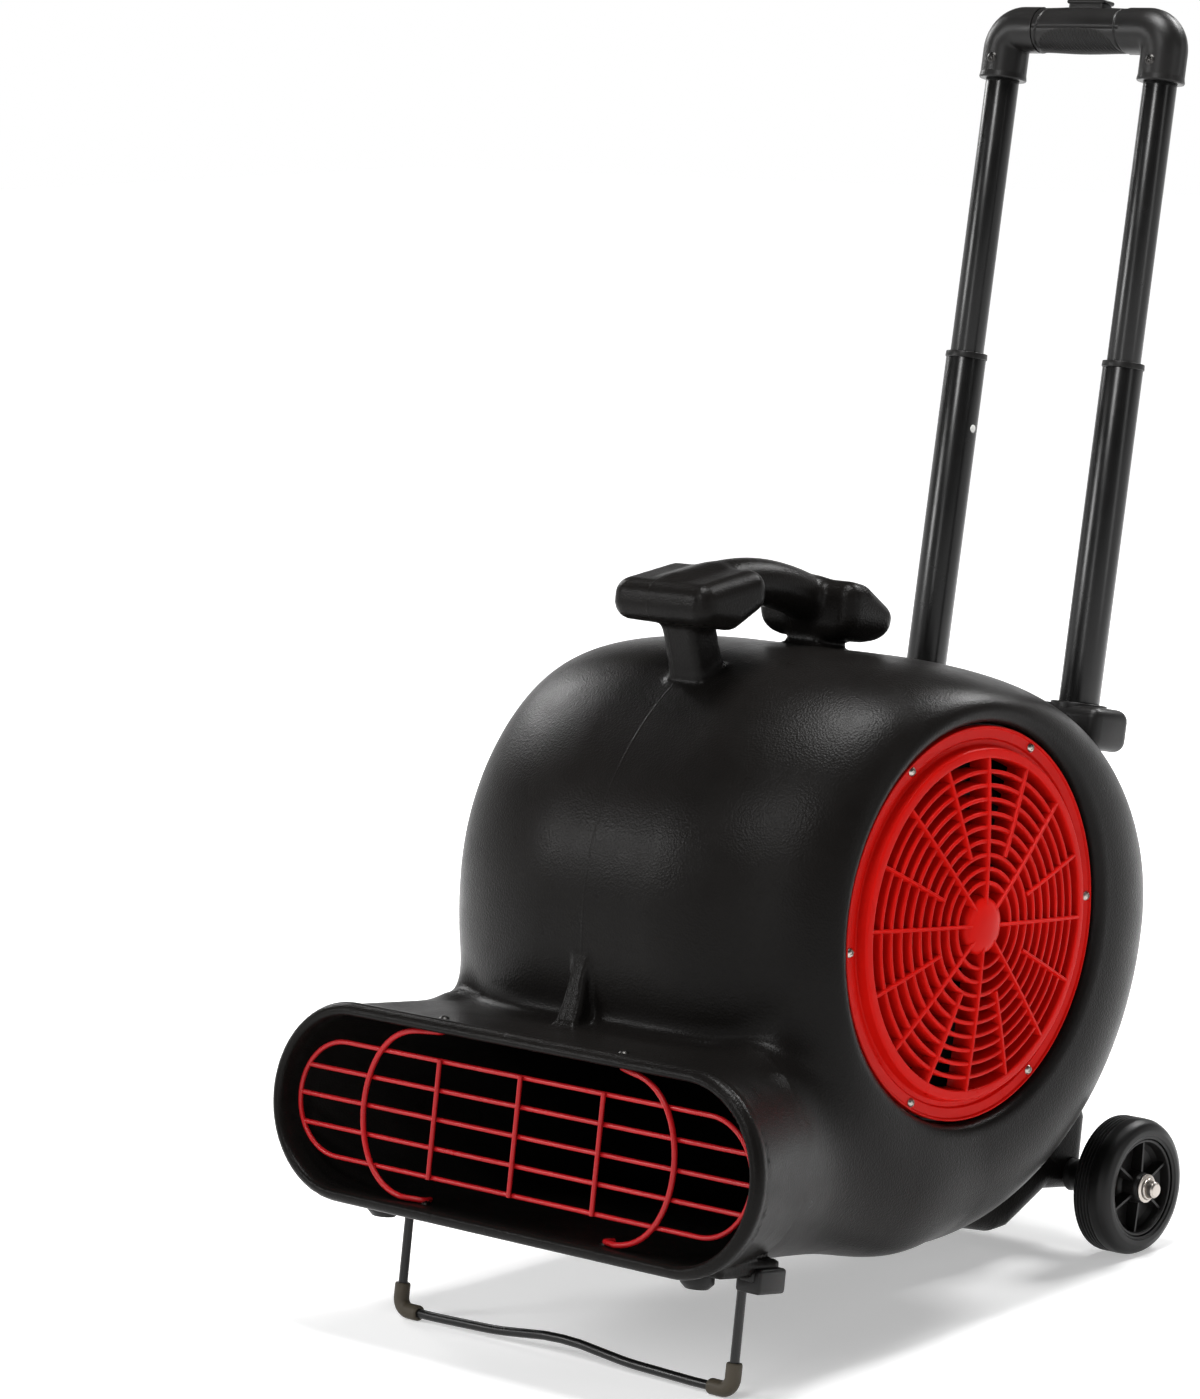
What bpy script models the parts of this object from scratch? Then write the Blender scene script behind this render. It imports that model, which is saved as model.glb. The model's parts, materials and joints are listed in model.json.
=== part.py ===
"""Centrifugal floor blower on two wheels, with a telescopic trolley handle and a folding stand.

The machine is modelled as it stands in use: leaning back on its wheels, the stand swung down under
the front and the handle drawn out. X runs along the drum's axis, the air leaves towards -Y and Z is
up. Every place on the body is measured from the wheel axle, before the body is leaned back.
"""

import math

import bmesh
import bpy
from mathutils import Matrix, Vector

# Stance
TILT = math.radians(9.1)
FIT_GAP = 0.0003

# Drum: a scroll that grows from its top round the rear to its underside
# (each row gives its value at the top, the rear, the bottom and the front)
DRUM_Y = -0.268
DRUM_Z = 0.1945
DRUM_HALF_WIDTH = 0.173
SCROLL_R = (0.1755, 0.236, 0.233, 0.203)
SHOULDER_X = (0.050, 0.118, 0.110, 0.045)
SHOULDER_POWER = (2.0, 2.1, 2.1, 1.7)
RIM_WIDTH = (0.008, 0.017, 0.013, 0.0035)
RIM_ROLL = 0.010
HOUSING_WALL = 0.004
DRUM_FOOT_Z = DRUM_Z - SCROLL_R[2]
DRUM_FRONT_Y = DRUM_Y - SCROLL_R[3]
DRUM_SEGMENTS = 44
SHOULDER_STEPS = 6

# Inlets and their grilles
INLET_R = 0.124
FLANGE_R = 0.136
FLANGE_RECESS = 0.007
FLANGE_X = DRUM_HALF_WIDTH - FLANGE_RECESS
FLANGE_THICKNESS = 0.005
FLANGE_GAP = 0.002
RIM_R = FLANGE_R + FLANGE_GAP
SEAT_X = FLANGE_X - FLANGE_THICKNESS - FIT_GAP
GRILLE_SLOT_R = INLET_R - 0.003
GRILLE_HUB_R = 0.020
GRILLE_SLATS = 8
GRILLE_SLAT_WIDTH = 0.0035
GRILLE_SPOKES = 8
GRILLE_SPOKE_WIDTH = 0.005
GRILLE_DOME = 0.012
GRILLE_SCREWS = 6
GRILLE_SCREW_INSET = 0.005
GRILLE_SCREW_ANGLE = math.radians(9)
SCREW_HEAD_R = 0.0038
SCREW_HEAD_HEIGHT = 0.0026
SCREW_SEGMENTS = 10

# Outlet duct
MOUTH_Y = -0.537
MOUTH_HALF_WIDTH = 0.219
MOUTH_TOP_Z = 0.0945
MOUTH_BOTTOM_Z = -0.0378
MOUTH_LIP = 0.0085
MOUTH_ROUND = 0.0055
MOUTH_RIM = 0.016
SHELF_RISE = math.radians(6)
SHELF_END_Y = -0.450
DUCT_END_HALF_WIDTH = 0.158
DUCT_END_TOP_Z = 0.045
DUCT_STEPS = 4
DUCT_ARC_STEPS = 9

# Gusset between the drum and the shelf
GUSSET_X = -0.008
GUSSET_HALF_WIDTH = 0.008
GUSSET_TOE_Y = -0.490
GUSSET_OUTLINE = ((0.0, -0.002), (0.022, 0.018), (0.030, 0.043), (0.036, 0.053))
GUSSET_ROOT = 0.035

# Carry handle moulded on the drum
HANDLE_FRONT_Y = -0.412
HANDLE_REAR_Y = -0.253
HANDLE_BLOCK = Vector((0.088, 0.050, 0.041))
HANDLE_BLOCK_Z = 0.397
HANDLE_BLOCK_ROUND = 0.013
HANDLE_ARCH_TOP_Z = 0.428
HANDLE_ARCH_R = 0.0165
HANDLE_POST = (0.030, 0.028)
HANDLE_POST_INSET = 0.010
HANDLE_POST_ROOT_Z = 0.250

# Pedestal at the rear, which holds the axle and the feet of the handle tubes
PEDESTAL_HALF_WIDTH = 0.080
PEDESTAL_FRONT_Y = -0.225
PEDESTAL_REAR_Y = 0.015
PEDESTAL_CHAMFER = 0.005
PEDESTAL_REAR_TOP_Z = 0.045
PEDESTAL_BROW = (-0.005, 0.066)
PEDESTAL_TOP = (-0.120, 0.110)
SOLE_RISE = 0.001
SKID_DEPTH = 0.003
SKID_FRONT_Y = -0.110
SKID_LOW_Y = -0.085
SKID_REAR_Y = -0.068
HEEL_Y = -0.026
AXLE_WALL = 0.006

# Wheels
WHEEL_R = 0.050
WHEEL_WIDTH = 0.032
WHEEL_X = 0.130
TYRE_INNER_R = 0.036
TYRE_SHOULDER = 0.008
TYRE_SEGMENTS = 32
HUB_SEGMENTS = 20
RING_SEGMENTS = 16
HUB_RIM = 0.0025
HUB_WEB = 0.006
HUB_BOSS_R = 0.011
HUB_RIBS = 6
HUB_RIB_WIDTH = 0.0025
HUB_RIB_INSET = 0.004
HUB_RIB_ROOT = 0.001
AXLE_R = 0.006
AXLE_CLEARANCE = 0.0005
AXLE_STUB = 0.012
AXLE_END_X = WHEEL_X + WHEEL_WIDTH / 2 + AXLE_STUB
BUSH_R = 0.011
WASHER_R = 0.0105
WASHER_THICKNESS = 0.002
CLIP_R = 0.0085
CLIP_THICKNESS = 0.002

# Trolley handle: a line that leans back from the body, measured from the top of its yoke
TUBE_LEAN = math.radians(2.66)
TUBE_X = 0.072
YOKE_Y = -0.0405
YOKE_TOP_Z = 0.344
YOKE_SIZE = Vector((0.210, 0.044, 0.031))
YOKE_ROUND = 0.007
YOKE_PAD_HALF_WIDTH = 0.046
YOKE_PAD_DEPTH = 0.100
RECESS_MARGIN = 0.010
RECESS_DEPTH = 0.120
RECESS_TOP_Z = 0.050
RECESS_BOTTOM_Z = -0.265
OUTER_TUBE_R = 0.018
OUTER_TUBE_WALL = 0.0025
OUTER_TUBE_FOOT_Z = 0.009
OUTER_TUBE_LENGTH = YOKE_TOP_Z - OUTER_TUBE_FOOT_Z
MIDDLE_TUBE_R = 0.015
MIDDLE_TUBE_WALL = 0.002
MIDDLE_TUBE_TOP = 0.250
MIDDLE_TUBE_OVERLAP = 0.070
INNER_TUBE_R = 0.0125
INNER_TUBE_WALL = 0.002
INNER_TUBE_OVERLAP = 0.060
FERRULE_WALL = 0.0012
FERRULE_HEIGHT = 0.009
LOCK_PIN_DROP = 0.055
LOCK_PIN_R = 0.003
BAR_Z = 0.4945
ELBOW_DROP = 0.037
ELBOW_BOTTOM = BAR_Z - ELBOW_DROP
ELBOW_R = 0.0172
ELBOW_BEND_R = 0.018
ELBOW_SOCKET = 0.009
GRIP_R = 0.0165
GRIP_HALF_LENGTH = 0.0397
BUTTON_SIZE = Vector((0.032, 0.0125, 0.016))
BUTTON_RISE = 0.006
BUTTON_TRAVEL = 0.004
BUTTON_GAP = 0.0005
BUTTON_ROUND = 0.0025
TUBE_SEGMENTS = 20
LOCK_PIN_SEGMENTS = 12

# Folding stand
FOOT_INSET = 0.076
FOOT_X = MOUTH_HALF_WIDTH - FOOT_INSET
STAND_X = FOOT_X + 0.009
STAND_Y = -0.457
STAND_WIRE_R = 0.00325
STAND_BEND_R = 0.012
STAND_TOP_BEND_R = 0.004
STAND_KINK = 0.005
STAND_KINK_HALF_WIDTH = 0.025
SLEEVE_R = 0.0055
SLEEVE_LENGTH = 0.022
STAND_BLOCK = Vector((0.020, 0.026, 0.0105))
STAND_BLOCK_X = STAND_X + 0.015
STAND_BLOCK_CHAMFER = 0.0015
STAND_BLOCK_WALL = 0.004
STAND_BORE_CLEARANCE = 0.0004
FOOT_Y = -0.493
FOOT_R = 0.0115
FOOT_CHAMFER = 0.004
FLAT_STANCE_Z = -WHEEL_R
FOOT_PAD_Z = MOUTH_BOTTOM_Z - 0.0014
FOOT_PAD_ROOT_Z = MOUTH_BOTTOM_Z + 0.010
STAND_Z = FOOT_PAD_Z - FIT_GAP - STAND_BLOCK.z / 2

# Fan and motor
FAN_R = 0.118
FAN_HALF_WIDTH = 0.112
FAN_BLADES = 14
FAN_BLADE_DEPTH = 0.022
FAN_BLADE_THICKNESS = 0.0022
FAN_BLADE_PITCH = math.radians(35)
FAN_RING = 0.005
FAN_DISC = 0.004
FAN_HUB_R = 0.022
FAN_HUB_LENGTH = 0.030
SHAFT_R = 0.008
SHAFT_CLEARANCE = 0.0005
SHAFT_STUB = 0.006
MOTOR_R = 0.058
MOTOR_END_X = -0.030
MOTOR_SHAFT_BORE = 0.040
MOTOR_CHAMFER = 0.006
MOTOR_SEGMENTS = 28
BRACKET_THICKNESS = 0.004
BRACKET_ARMS = 3
BRACKET_ARM_WIDTH = 0.026
BRACKET_REACH = INLET_R + 0.010
FAN_SEGMENTS = 32

# Outlet grille of welded wire
WIRE_R = 0.00225
GRILLE_PLANE_Y = MOUTH_Y + 0.0145
LOOP_EDGE_GAP = 0.014
LOOP_HALF_WIDTH = MOUTH_HALF_WIDTH - LOOP_EDGE_GAP
LOOP_TOP_GAP = 0.0265
LOOP_HALF_HEIGHT = (MOUTH_TOP_Z - MOUTH_BOTTOM_Z) / 2 - LOOP_TOP_GAP
LOOP_Z = (MOUTH_TOP_Z + MOUTH_BOTTOM_Z) / 2
LOOP_ARC_STEPS = 9
GRILLE_UPRIGHT_PITCH = 0.3634 * LOOP_HALF_WIDTH
GRILLE_ROWS = 3
HOOP_MIDDLE_X = LOOP_HALF_WIDTH - 0.064
HOOP_END_X = HOOP_MIDDLE_X - 0.053
HOOP_FULLNESS = 0.8
HOOP_FOOT = 0.012
OUTLET_SCREW_SETBACK = 0.008
ROW_OFFSET = 0.0005
WIRE_OFFSET = -0.003

# Switch and cable entry on the rear, between the tubes
SWITCH_PLATE = Vector((0.070, 0.003, 0.060))
SWITCH_PLATE_CHAMFER = 0.001
SWITCH_Z = -0.110
KNOB_R = 0.016
KNOB_HEIGHT = 0.014
KNOB_TAPER = 0.003
KNOB_SKIRT = 0.002
GLAND_Z = -0.185
GLAND_R = 0.011
GLAND_LENGTH = 0.016



def new_collection(name):
    collection = bpy.data.collections.new(name)
    bpy.context.scene.collection.children.link(collection)
    return collection


def clear_scene():
    for obj in list(bpy.data.objects):
        bpy.data.objects.remove(obj, do_unlink=True)


def make_material(name, colour, roughness, metallic=0.0):
    mat = bpy.data.materials.new(name)
    mat.use_nodes = True
    shader = mat.node_tree.nodes["Principled BSDF"]
    shader.inputs["Base Color"].default_value = (*colour, 1.0)
    shader.inputs["Roughness"].default_value = roughness
    shader.inputs["Metallic"].default_value = metallic
    return mat


clear_scene()
PARTS = new_collection("floor_blower")
CUTTERS = new_collection("cutters")
HOUSING_PLASTIC = make_material("housing_plastic", (0.012, 0.011, 0.011), 0.45)
RED_PLASTIC = make_material("red_plastic", (0.55, 0.008, 0.006), 0.35)
RED_WIRE = make_material("red_wire", (0.45, 0.010, 0.012), 0.40)
TUBE_BLACK = make_material("tube_black", (0.012, 0.012, 0.013), 0.35, 0.3)
BLACK_PLASTIC = make_material("black_plastic", (0.014, 0.014, 0.014), 0.50)
TYRE_RUBBER = make_material("tyre_rubber", (0.015, 0.015, 0.016), 0.65)
SLEEVE_RUBBER = make_material("sleeve_rubber", (0.05, 0.048, 0.038), 0.70)
BRIGHT_STEEL = make_material("bright_steel", (0.60, 0.58, 0.55), 0.30, 1.0)
GREY_METAL = make_material("grey_metal", (0.20, 0.20, 0.21), 0.45, 1.0)
WHITE_PLASTIC = make_material("white_plastic", (0.80, 0.80, 0.78), 0.40)

AXIS_X = (0.0, math.pi / 2, 0.0)
AXIS_MINUS_X = (0.0, -math.pi / 2, 0.0)
AXIS_Y = (-math.pi / 2, 0.0, 0.0)
AXIS_Z = (0.0, 0.0, 0.0)
SIDE_OUTLINE = (math.pi / 2, 0.0, math.pi / 2)
SIDES = (("left", -1), ("right", 1))


def add_empty(name, parent=None, location=(0, 0, 0), tilt=0.0):
    """A reference frame that pieces are parented to, turned about X by tilt."""
    empty = bpy.data.objects.new(name, None)
    CUTTERS.objects.link(empty)
    empty.empty_display_size = 0.03
    empty.hide_render = True
    empty.parent = parent
    empty.location = location
    empty.rotation_euler = (tilt, 0.0, 0.0)
    return empty


def add_object(name, mesh, parent, mat=None, location=(0, 0, 0), rotation=AXIS_Z):
    """A piece of the machine, or a hidden cutter where no material is given."""
    obj = bpy.data.objects.new(name, mesh)
    if mat is None:
        CUTTERS.objects.link(obj)
        obj.hide_render = True
        obj.display_type = "WIRE"
    else:
        PARTS.objects.link(obj)
        obj.data.materials.append(mat)
    obj.parent = parent
    obj.location = location
    obj.rotation_euler = rotation
    return obj


def finish_mesh(bm, name, smooth_angle=math.radians(35)):
    bmesh.ops.recalc_face_normals(bm, faces=bm.faces)
    mesh = bpy.data.meshes.new(name)
    bm.to_mesh(mesh)
    bm.free()
    mesh.shade_smooth()
    mesh.set_sharp_from_angle(angle=smooth_angle)
    return mesh


def box_mesh(name, size, rounding=0.0, segments=2):
    bm = bmesh.new()
    bmesh.ops.create_cube(bm, size=1.0)
    bmesh.ops.scale(bm, vec=size, verts=bm.verts)
    if rounding:
        bmesh.ops.bevel(bm, geom=bm.edges[:], offset=rounding, segments=segments,
                        profile=0.5, affect="EDGES")
    return finish_mesh(bm, name)


def boxes_mesh(name, size, matrices):
    """Several equal boxes in one mesh, each placed by its own matrix."""
    bm = bmesh.new()
    for matrix in matrices:
        made = bmesh.ops.create_cube(bm, size=1.0)
        bmesh.ops.scale(bm, vec=size, verts=made["verts"])
        bmesh.ops.transform(bm, matrix=matrix, verts=made["verts"])
    return finish_mesh(bm, name)


def loft_mesh(name, rings):
    """A closed skin through rings of equal point counts, with its two ends filled."""
    bm = bmesh.new()
    loops = [[bm.verts.new(point) for point in ring] for ring in rings]
    count = len(loops[0])
    for here, there in zip(loops, loops[1:]):
        for i in range(count):
            j = (i + 1) % count
            bm.faces.new((here[i], here[j], there[j], there[i]))
    bm.faces.new(loops[0])
    bm.faces.new(loops[-1])
    return finish_mesh(bm, name)


def curve_to_mesh(curve, name):
    """The welded mesh of a curve, which is removed afterwards."""
    holder = bpy.data.objects.new(name, curve)
    CUTTERS.objects.link(holder)
    depsgraph = bpy.context.evaluated_depsgraph_get()
    raw = bpy.data.meshes.new_from_object(holder.evaluated_get(depsgraph), depsgraph=depsgraph)
    bpy.data.objects.remove(holder, do_unlink=True)
    bpy.data.curves.remove(curve)
    bm = bmesh.new()
    bm.from_mesh(raw)
    bpy.data.meshes.remove(raw)
    bmesh.ops.remove_doubles(bm, verts=bm.verts, dist=0.00001)
    return finish_mesh(bm, name)


def add_spline(curve, points, cyclic):
    spline = curve.splines.new("POLY")
    spline.points.add(len(points) - 1)
    for target, point in zip(spline.points, points):
        target.co = (*point, 1.0)
    spline.use_cyclic_u = cyclic


def tube_mesh(name, points, radius, resolution=1, cyclic=False):
    curve = bpy.data.curves.new(name, "CURVE")
    curve.dimensions = "3D"
    curve.fill_mode = "FULL"
    curve.bevel_depth = radius
    curve.bevel_resolution = resolution
    curve.use_fill_caps = not cyclic
    add_spline(curve, points, cyclic)
    return curve_to_mesh(curve, name)


def plate_mesh(name, outline, thickness, holes=()):
    """A flat outline in XY, with holes, extruded to a plate centred on its plane."""
    curve = bpy.data.curves.new(name, "CURVE")
    curve.dimensions = "2D"
    curve.fill_mode = "BOTH"
    curve.extrude = thickness / 2
    for loop in (outline, *holes):
        add_spline(curve, [(x, y, 0.0) for x, y in loop], True)
    return curve_to_mesh(curve, name)


def add_turned(name, profile, parent, mat=None, location=(0, 0, 0), rotation=AXIS_Z,
               steps=TUBE_SEGMENTS, ring=False):
    """A turned piece: (radius, height) points run down the outer side, a ring's loop is closed."""
    mesh = bpy.data.meshes.new(name)
    count = len(profile)
    edges = [(i, (i + 1) % count) for i in range(count if ring else count - 1)]
    mesh.from_pydata([(radius, 0.0, height) for radius, height in profile], edges, [])
    obj = add_object(name, mesh, parent, mat, location, rotation)
    screw = obj.modifiers.new("turn", "SCREW")
    screw.angle = 2 * math.pi
    screw.steps = steps
    screw.render_steps = steps
    screw.use_merge_vertices = True
    screw.merge_threshold = 0.00001
    screw.use_smooth_shade = True
    return obj


def add_rod(name, radius, start, end, parent, mat=None, location=(0, 0, 0), rotation=AXIS_Z,
            steps=TUBE_SEGMENTS):
    profile = [(0.0, end), (radius, end), (radius, start), (0.0, start)]
    return add_turned(name, profile, parent, mat, location, rotation, steps)


def add_sleeve(name, outer, inner, start, end, parent, mat=None, location=(0, 0, 0),
               rotation=AXIS_Z, steps=TUBE_SEGMENTS):
    profile = [(inner, end), (outer, end), (outer, start), (inner, start)]
    return add_turned(name, profile, parent, mat, location, rotation, steps, ring=True)


def combine(target, operand, operation):
    modifier = target.modifiers.new(operand.name, "BOOLEAN")
    modifier.operation = operation
    modifier.object = operand
    modifier.solver = "EXACT"


def circle_points(radius, count, start=0.0):
    step = 2 * math.pi / count
    return [(radius * math.cos(start + i * step), radius * math.sin(start + i * step))
            for i in range(count)]


def arc_points(centre, radius, start, end, steps):
    return [(centre[0] + radius * math.cos(start + (end - start) * i / steps),
             centre[1] + radius * math.sin(start + (end - start) * i / steps))
            for i in range(steps + 1)]


# Reference frames
root = add_empty("blower_root")
body = add_empty("body_frame", root, (0, 0, WHEEL_R), -TILT)
handle_line = add_empty("handle_line", body, (0, YOKE_Y, YOKE_TOP_Z), -TUBE_LEAN)


# Housing

def around(values, phi):
    """A value blended round the drum, where phi runs from straight up towards the rear."""
    quarter = (phi / (math.pi / 2)) % 4
    here = int(quarter)
    share = math.sin(math.pi / 2 * (quarter - here)) ** 2
    return values[here] + (values[(here + 1) % 4] - values[here]) * share


def drum_ring(place_at):
    ring = []
    for i in range(DRUM_SEGMENTS):
        phi = 2 * math.pi * i / DRUM_SEGMENTS
        x, radius = place_at(phi)
        ring.append((x, DRUM_Y + radius * math.sin(phi), DRUM_Z + radius * math.cos(phi)))
    return ring


def drum_mesh(name, half_width, wall, ends, crest=None):
    """The drum's skin: domed shoulders out to a crest, then the steps in ends.

    Each step is a place along X and a share of the way from the crest in to a radius.
    """
    def crest_r(phi):
        return RIM_R + around(RIM_WIDTH, phi) if crest is None else crest

    def shoulder(angle, phi):
        bend = 2 / around(SHOULDER_POWER, phi)
        start = around(SHOULDER_X, phi)
        along = math.sin(angle) ** bend
        outward = max(math.cos(angle), 0.0) ** bend
        radius = crest_r(phi) + (around(SCROLL_R, phi) - wall - crest_r(phi)) * outward
        return start + (half_width - start) * along, radius

    right = []
    for step in range(SHOULDER_STEPS + 1):
        angle = math.pi / 2 * step / SHOULDER_STEPS
        right.append(drum_ring(lambda phi: shoulder(angle, phi)))
    for x, inner_r, share in ends:
        right.append(drum_ring(lambda phi: (x, crest_r(phi) + (inner_r - crest_r(phi)) * share)))
    left = [[(-x, y, z) for x, y, z in ring] for ring in right]
    return loft_mesh(name, left[::-1] + right)


def shelf_z(y):
    return MOUTH_TOP_Z + math.tan(SHELF_RISE) * (y - MOUTH_Y)


def duct_top(y):
    """The shelf's height, and behind the shelf the fall that keeps the duct under the inlets."""
    if y < SHELF_END_Y:
        return shelf_z(max(y, MOUTH_Y))
    fall = (shelf_z(SHELF_END_Y) - DUCT_END_TOP_Z) / (DRUM_Y - SHELF_END_Y)
    return shelf_z(SHELF_END_Y) - fall * (y - SHELF_END_Y)


def duct_section(y, inset):
    """A slot-shaped section of the duct, with full round ends."""
    share = min(max((y - MOUTH_Y) / (DRUM_Y - MOUTH_Y), 0.0), 1.0)
    ease = math.sin(math.pi / 2 * max(y - MOUTH_Y - MOUTH_RIM, 0.0) / (DRUM_Y - MOUTH_Y - MOUTH_RIM))
    half_width = MOUTH_HALF_WIDTH + (DUCT_END_HALF_WIDTH - MOUTH_HALF_WIDTH) * ease - inset
    scroll_bottom = DRUM_FOOT_Z + FIT_GAP
    bottom = MOUTH_BOTTOM_Z + (scroll_bottom - MOUTH_BOTTOM_Z) * share + inset
    top = duct_top(y) - inset
    radius = (top - bottom) / 2
    middle = (top + bottom) / 2
    quarter = math.pi / 2
    right = arc_points((half_width - radius, middle), radius, -quarter, quarter, DUCT_ARC_STEPS)
    left = arc_points((radius - half_width, middle), radius, quarter, 3 * quarter, DUCT_ARC_STEPS)
    return [(x, y, z) for x, z in right + left]


def duct_mesh(name, stations):
    return loft_mesh(name, [duct_section(y, inset) for y, inset in stations])


def duct_run(start, inset):
    """Stations from start to the end of the shelf and then evenly to under the drum's axis."""
    step = (DRUM_Y - SHELF_END_Y) / DUCT_STEPS
    return ([(start, inset), (MOUTH_Y + MOUTH_RIM + FIT_GAP, inset)]
            + [(SHELF_END_Y + step * i, inset) for i in range(DUCT_STEPS + 1)])


def add_side_outline(name, outline, half_width, x=0.0):
    """A hidden block: an outline in Y and Z, as thick as twice half_width along X."""
    mesh = plate_mesh(name, outline, 2 * half_width)
    return add_object(name, mesh, body, None, (x, 0, 0), SIDE_OUTLINE)


def carry_handle_pieces():
    """The carry handle: two cross blocks on posts, joined by an arched grip."""
    span = HANDLE_REAR_Y - HANDLE_FRONT_Y
    rise = HANDLE_ARCH_TOP_Z - HANDLE_ARCH_R - HANDLE_BLOCK_Z
    steps = 8
    arch = []
    for i in range(steps + 1):
        share = i / steps
        arch.append((0.0, HANDLE_FRONT_Y + span * share,
                     HANDLE_BLOCK_Z + rise * math.sin(math.pi * share)))
    pieces = [add_object("carry_arch", tube_mesh("carry_arch", arch, HANDLE_ARCH_R, 2), body)]
    for end, y, inward in (("front", HANDLE_FRONT_Y, 1), ("rear", HANDLE_REAR_Y, -1)):
        block = box_mesh("carry_block_" + end, HANDLE_BLOCK, HANDLE_BLOCK_ROUND)
        pieces.append(add_object("carry_block_" + end, block, body, None, (0, y, HANDLE_BLOCK_Z)))
        height = HANDLE_BLOCK_Z - HANDLE_POST_ROOT_Z
        post = box_mesh("carry_post_" + end, (*HANDLE_POST, height))
        place = (0, y + inward * HANDLE_POST_INSET, HANDLE_POST_ROOT_Z + height / 2)
        pieces.append(add_object("carry_post_" + end, post, body, None, place))
    return pieces


def pedestal_outline():
    sole_z = DRUM_FOOT_Z + FIT_GAP
    heel_z = -AXLE_R - AXLE_WALL
    return [(PEDESTAL_FRONT_Y, 0.0), (PEDESTAL_FRONT_Y, sole_z + SOLE_RISE), (SKID_FRONT_Y, sole_z),
            (SKID_LOW_Y, sole_z - SKID_DEPTH), (SKID_REAR_Y, sole_z), (HEEL_Y, heel_z),
            (PEDESTAL_REAR_Y - PEDESTAL_CHAMFER, heel_z), (PEDESTAL_REAR_Y, heel_z + PEDESTAL_CHAMFER),
            (PEDESTAL_REAR_Y, PEDESTAL_REAR_TOP_Z), PEDESTAL_BROW, PEDESTAL_TOP]


def make_housing():
    rim = [(DRUM_HALF_WIDTH - 0.15 * RIM_ROLL, RIM_R, 0.5), (DRUM_HALF_WIDTH - 0.6 * RIM_ROLL, RIM_R, 0.9),
           (SEAT_X, RIM_R, 1.0), (SEAT_X, INLET_R, 1.0)]
    outside = drum_mesh("housing", DRUM_HALF_WIDTH, 0.0, rim)
    housing = add_object("housing", outside, body, HOUSING_PLASTIC)

    duct = duct_mesh("duct", [(MOUTH_Y, MOUTH_ROUND), (MOUTH_Y + 0.3 * MOUTH_ROUND, 0.3 * MOUTH_ROUND)]
                     + duct_run(MOUTH_Y + MOUTH_ROUND, 0.0))
    toe_z = shelf_z(GUSSET_TOE_Y)
    gusset = [(GUSSET_TOE_Y + y, toe_z + z) for y, z in GUSSET_OUTLINE]
    gusset += [(DRUM_FRONT_Y + GUSSET_ROOT, gusset[-1][1]), (DRUM_FRONT_Y + GUSSET_ROOT, gusset[0][1])]
    pedestal = add_side_outline("pedestal", pedestal_outline(), PEDESTAL_HALF_WIDTH)
    joined = [add_object("duct", duct, body), pedestal,
              add_side_outline("gusset", gusset, GUSSET_HALF_WIDTH, GUSSET_X)]
    joined += carry_handle_pieces()
    pad_start = (FOOT_X - FOOT_R - FIT_GAP, FOOT_Y - FOOT_R - FIT_GAP, FOOT_PAD_Z)
    pad_end = (STAND_BLOCK_X + STAND_BLOCK.x / 2, STAND_Y + STAND_BLOCK.y / 2, FOOT_PAD_ROOT_Z)
    pad_size = [end - start for start, end in zip(pad_start, pad_end)]
    pad_x, pad_y, pad_z = [(start + end) / 2 for start, end in zip(pad_start, pad_end)]
    for side, sign in SIDES:
        pad = box_mesh("foot_pad_" + side, pad_size)
        joined.append(add_object("foot_pad_" + side, pad, body, None, (sign * pad_x, pad_y, pad_z)))
    yoke_pad = box_mesh("yoke_pad", (2 * YOKE_PAD_HALF_WIDTH, YOKE_PAD_DEPTH, YOKE_SIZE.z))
    joined.append(add_object("yoke_pad", yoke_pad, handle_line, None,
                             (0, -YOKE_PAD_DEPTH / 2, -YOKE_SIZE.z / 2)))
    for piece in joined:
        combine(housing, piece, "UNION")

    recess_y = -YOKE_SIZE.y / 2 - FIT_GAP
    half_width = TUBE_X + OUTER_TUBE_R + RECESS_MARGIN
    height = RECESS_TOP_Z - RECESS_BOTTOM_Z
    centre_z = (RECESS_TOP_Z + RECESS_BOTTOM_Z) / 2
    recess = box_mesh("recess", (2 * half_width, RECESS_DEPTH, height))
    combine(housing, add_object("recess", recess, handle_line, None,
                                (0, recess_y + RECESS_DEPTH / 2, centre_z)), "DIFFERENCE")

    cavity_x = SEAT_X - HOUSING_WALL
    inlet = [(cavity_x, INLET_R, 1.0), (DRUM_HALF_WIDTH + HOUSING_WALL, INLET_R, 1.0)]
    cavity = drum_mesh("drum_cavity", cavity_x, HOUSING_WALL, inlet, RIM_R)
    cavity = add_object("drum_cavity", cavity, body)
    backed = box_mesh("recess_wall", (2 * (half_width + HOUSING_WALL), RECESS_DEPTH,
                                      height + 2 * HOUSING_WALL))
    combine(cavity, add_object("recess_wall", backed, handle_line, None,
                               (0, recess_y - HOUSING_WALL + RECESS_DEPTH / 2, centre_z)), "DIFFERENCE")
    combine(housing, cavity, "DIFFERENCE")
    inside = duct_mesh("duct_cavity", [(MOUTH_Y - MOUTH_LIP, MOUTH_LIP), (MOUTH_Y, MOUTH_LIP)]
                       + duct_run(MOUTH_Y + 0.5 * MOUTH_RIM, HOUSING_WALL))
    combine(housing, add_object("duct_cavity", inside, body), "DIFFERENCE")
    for side, sign in SIDES:
        bore = add_rod("tube_bore_" + side, OUTER_TUBE_R + FIT_GAP, -OUTER_TUBE_LENGTH - FIT_GAP, 0.0,
                       handle_line, None, (sign * TUBE_X, 0, 0))
        combine(housing, bore, "DIFFERENCE")
    axle_bore = add_rod("axle_bore", AXLE_R + FIT_GAP, -AXLE_END_X, AXLE_END_X, body, None,
                        rotation=AXIS_X)
    combine(housing, axle_bore, "DIFFERENCE")
    return housing


# Inlet grilles

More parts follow.
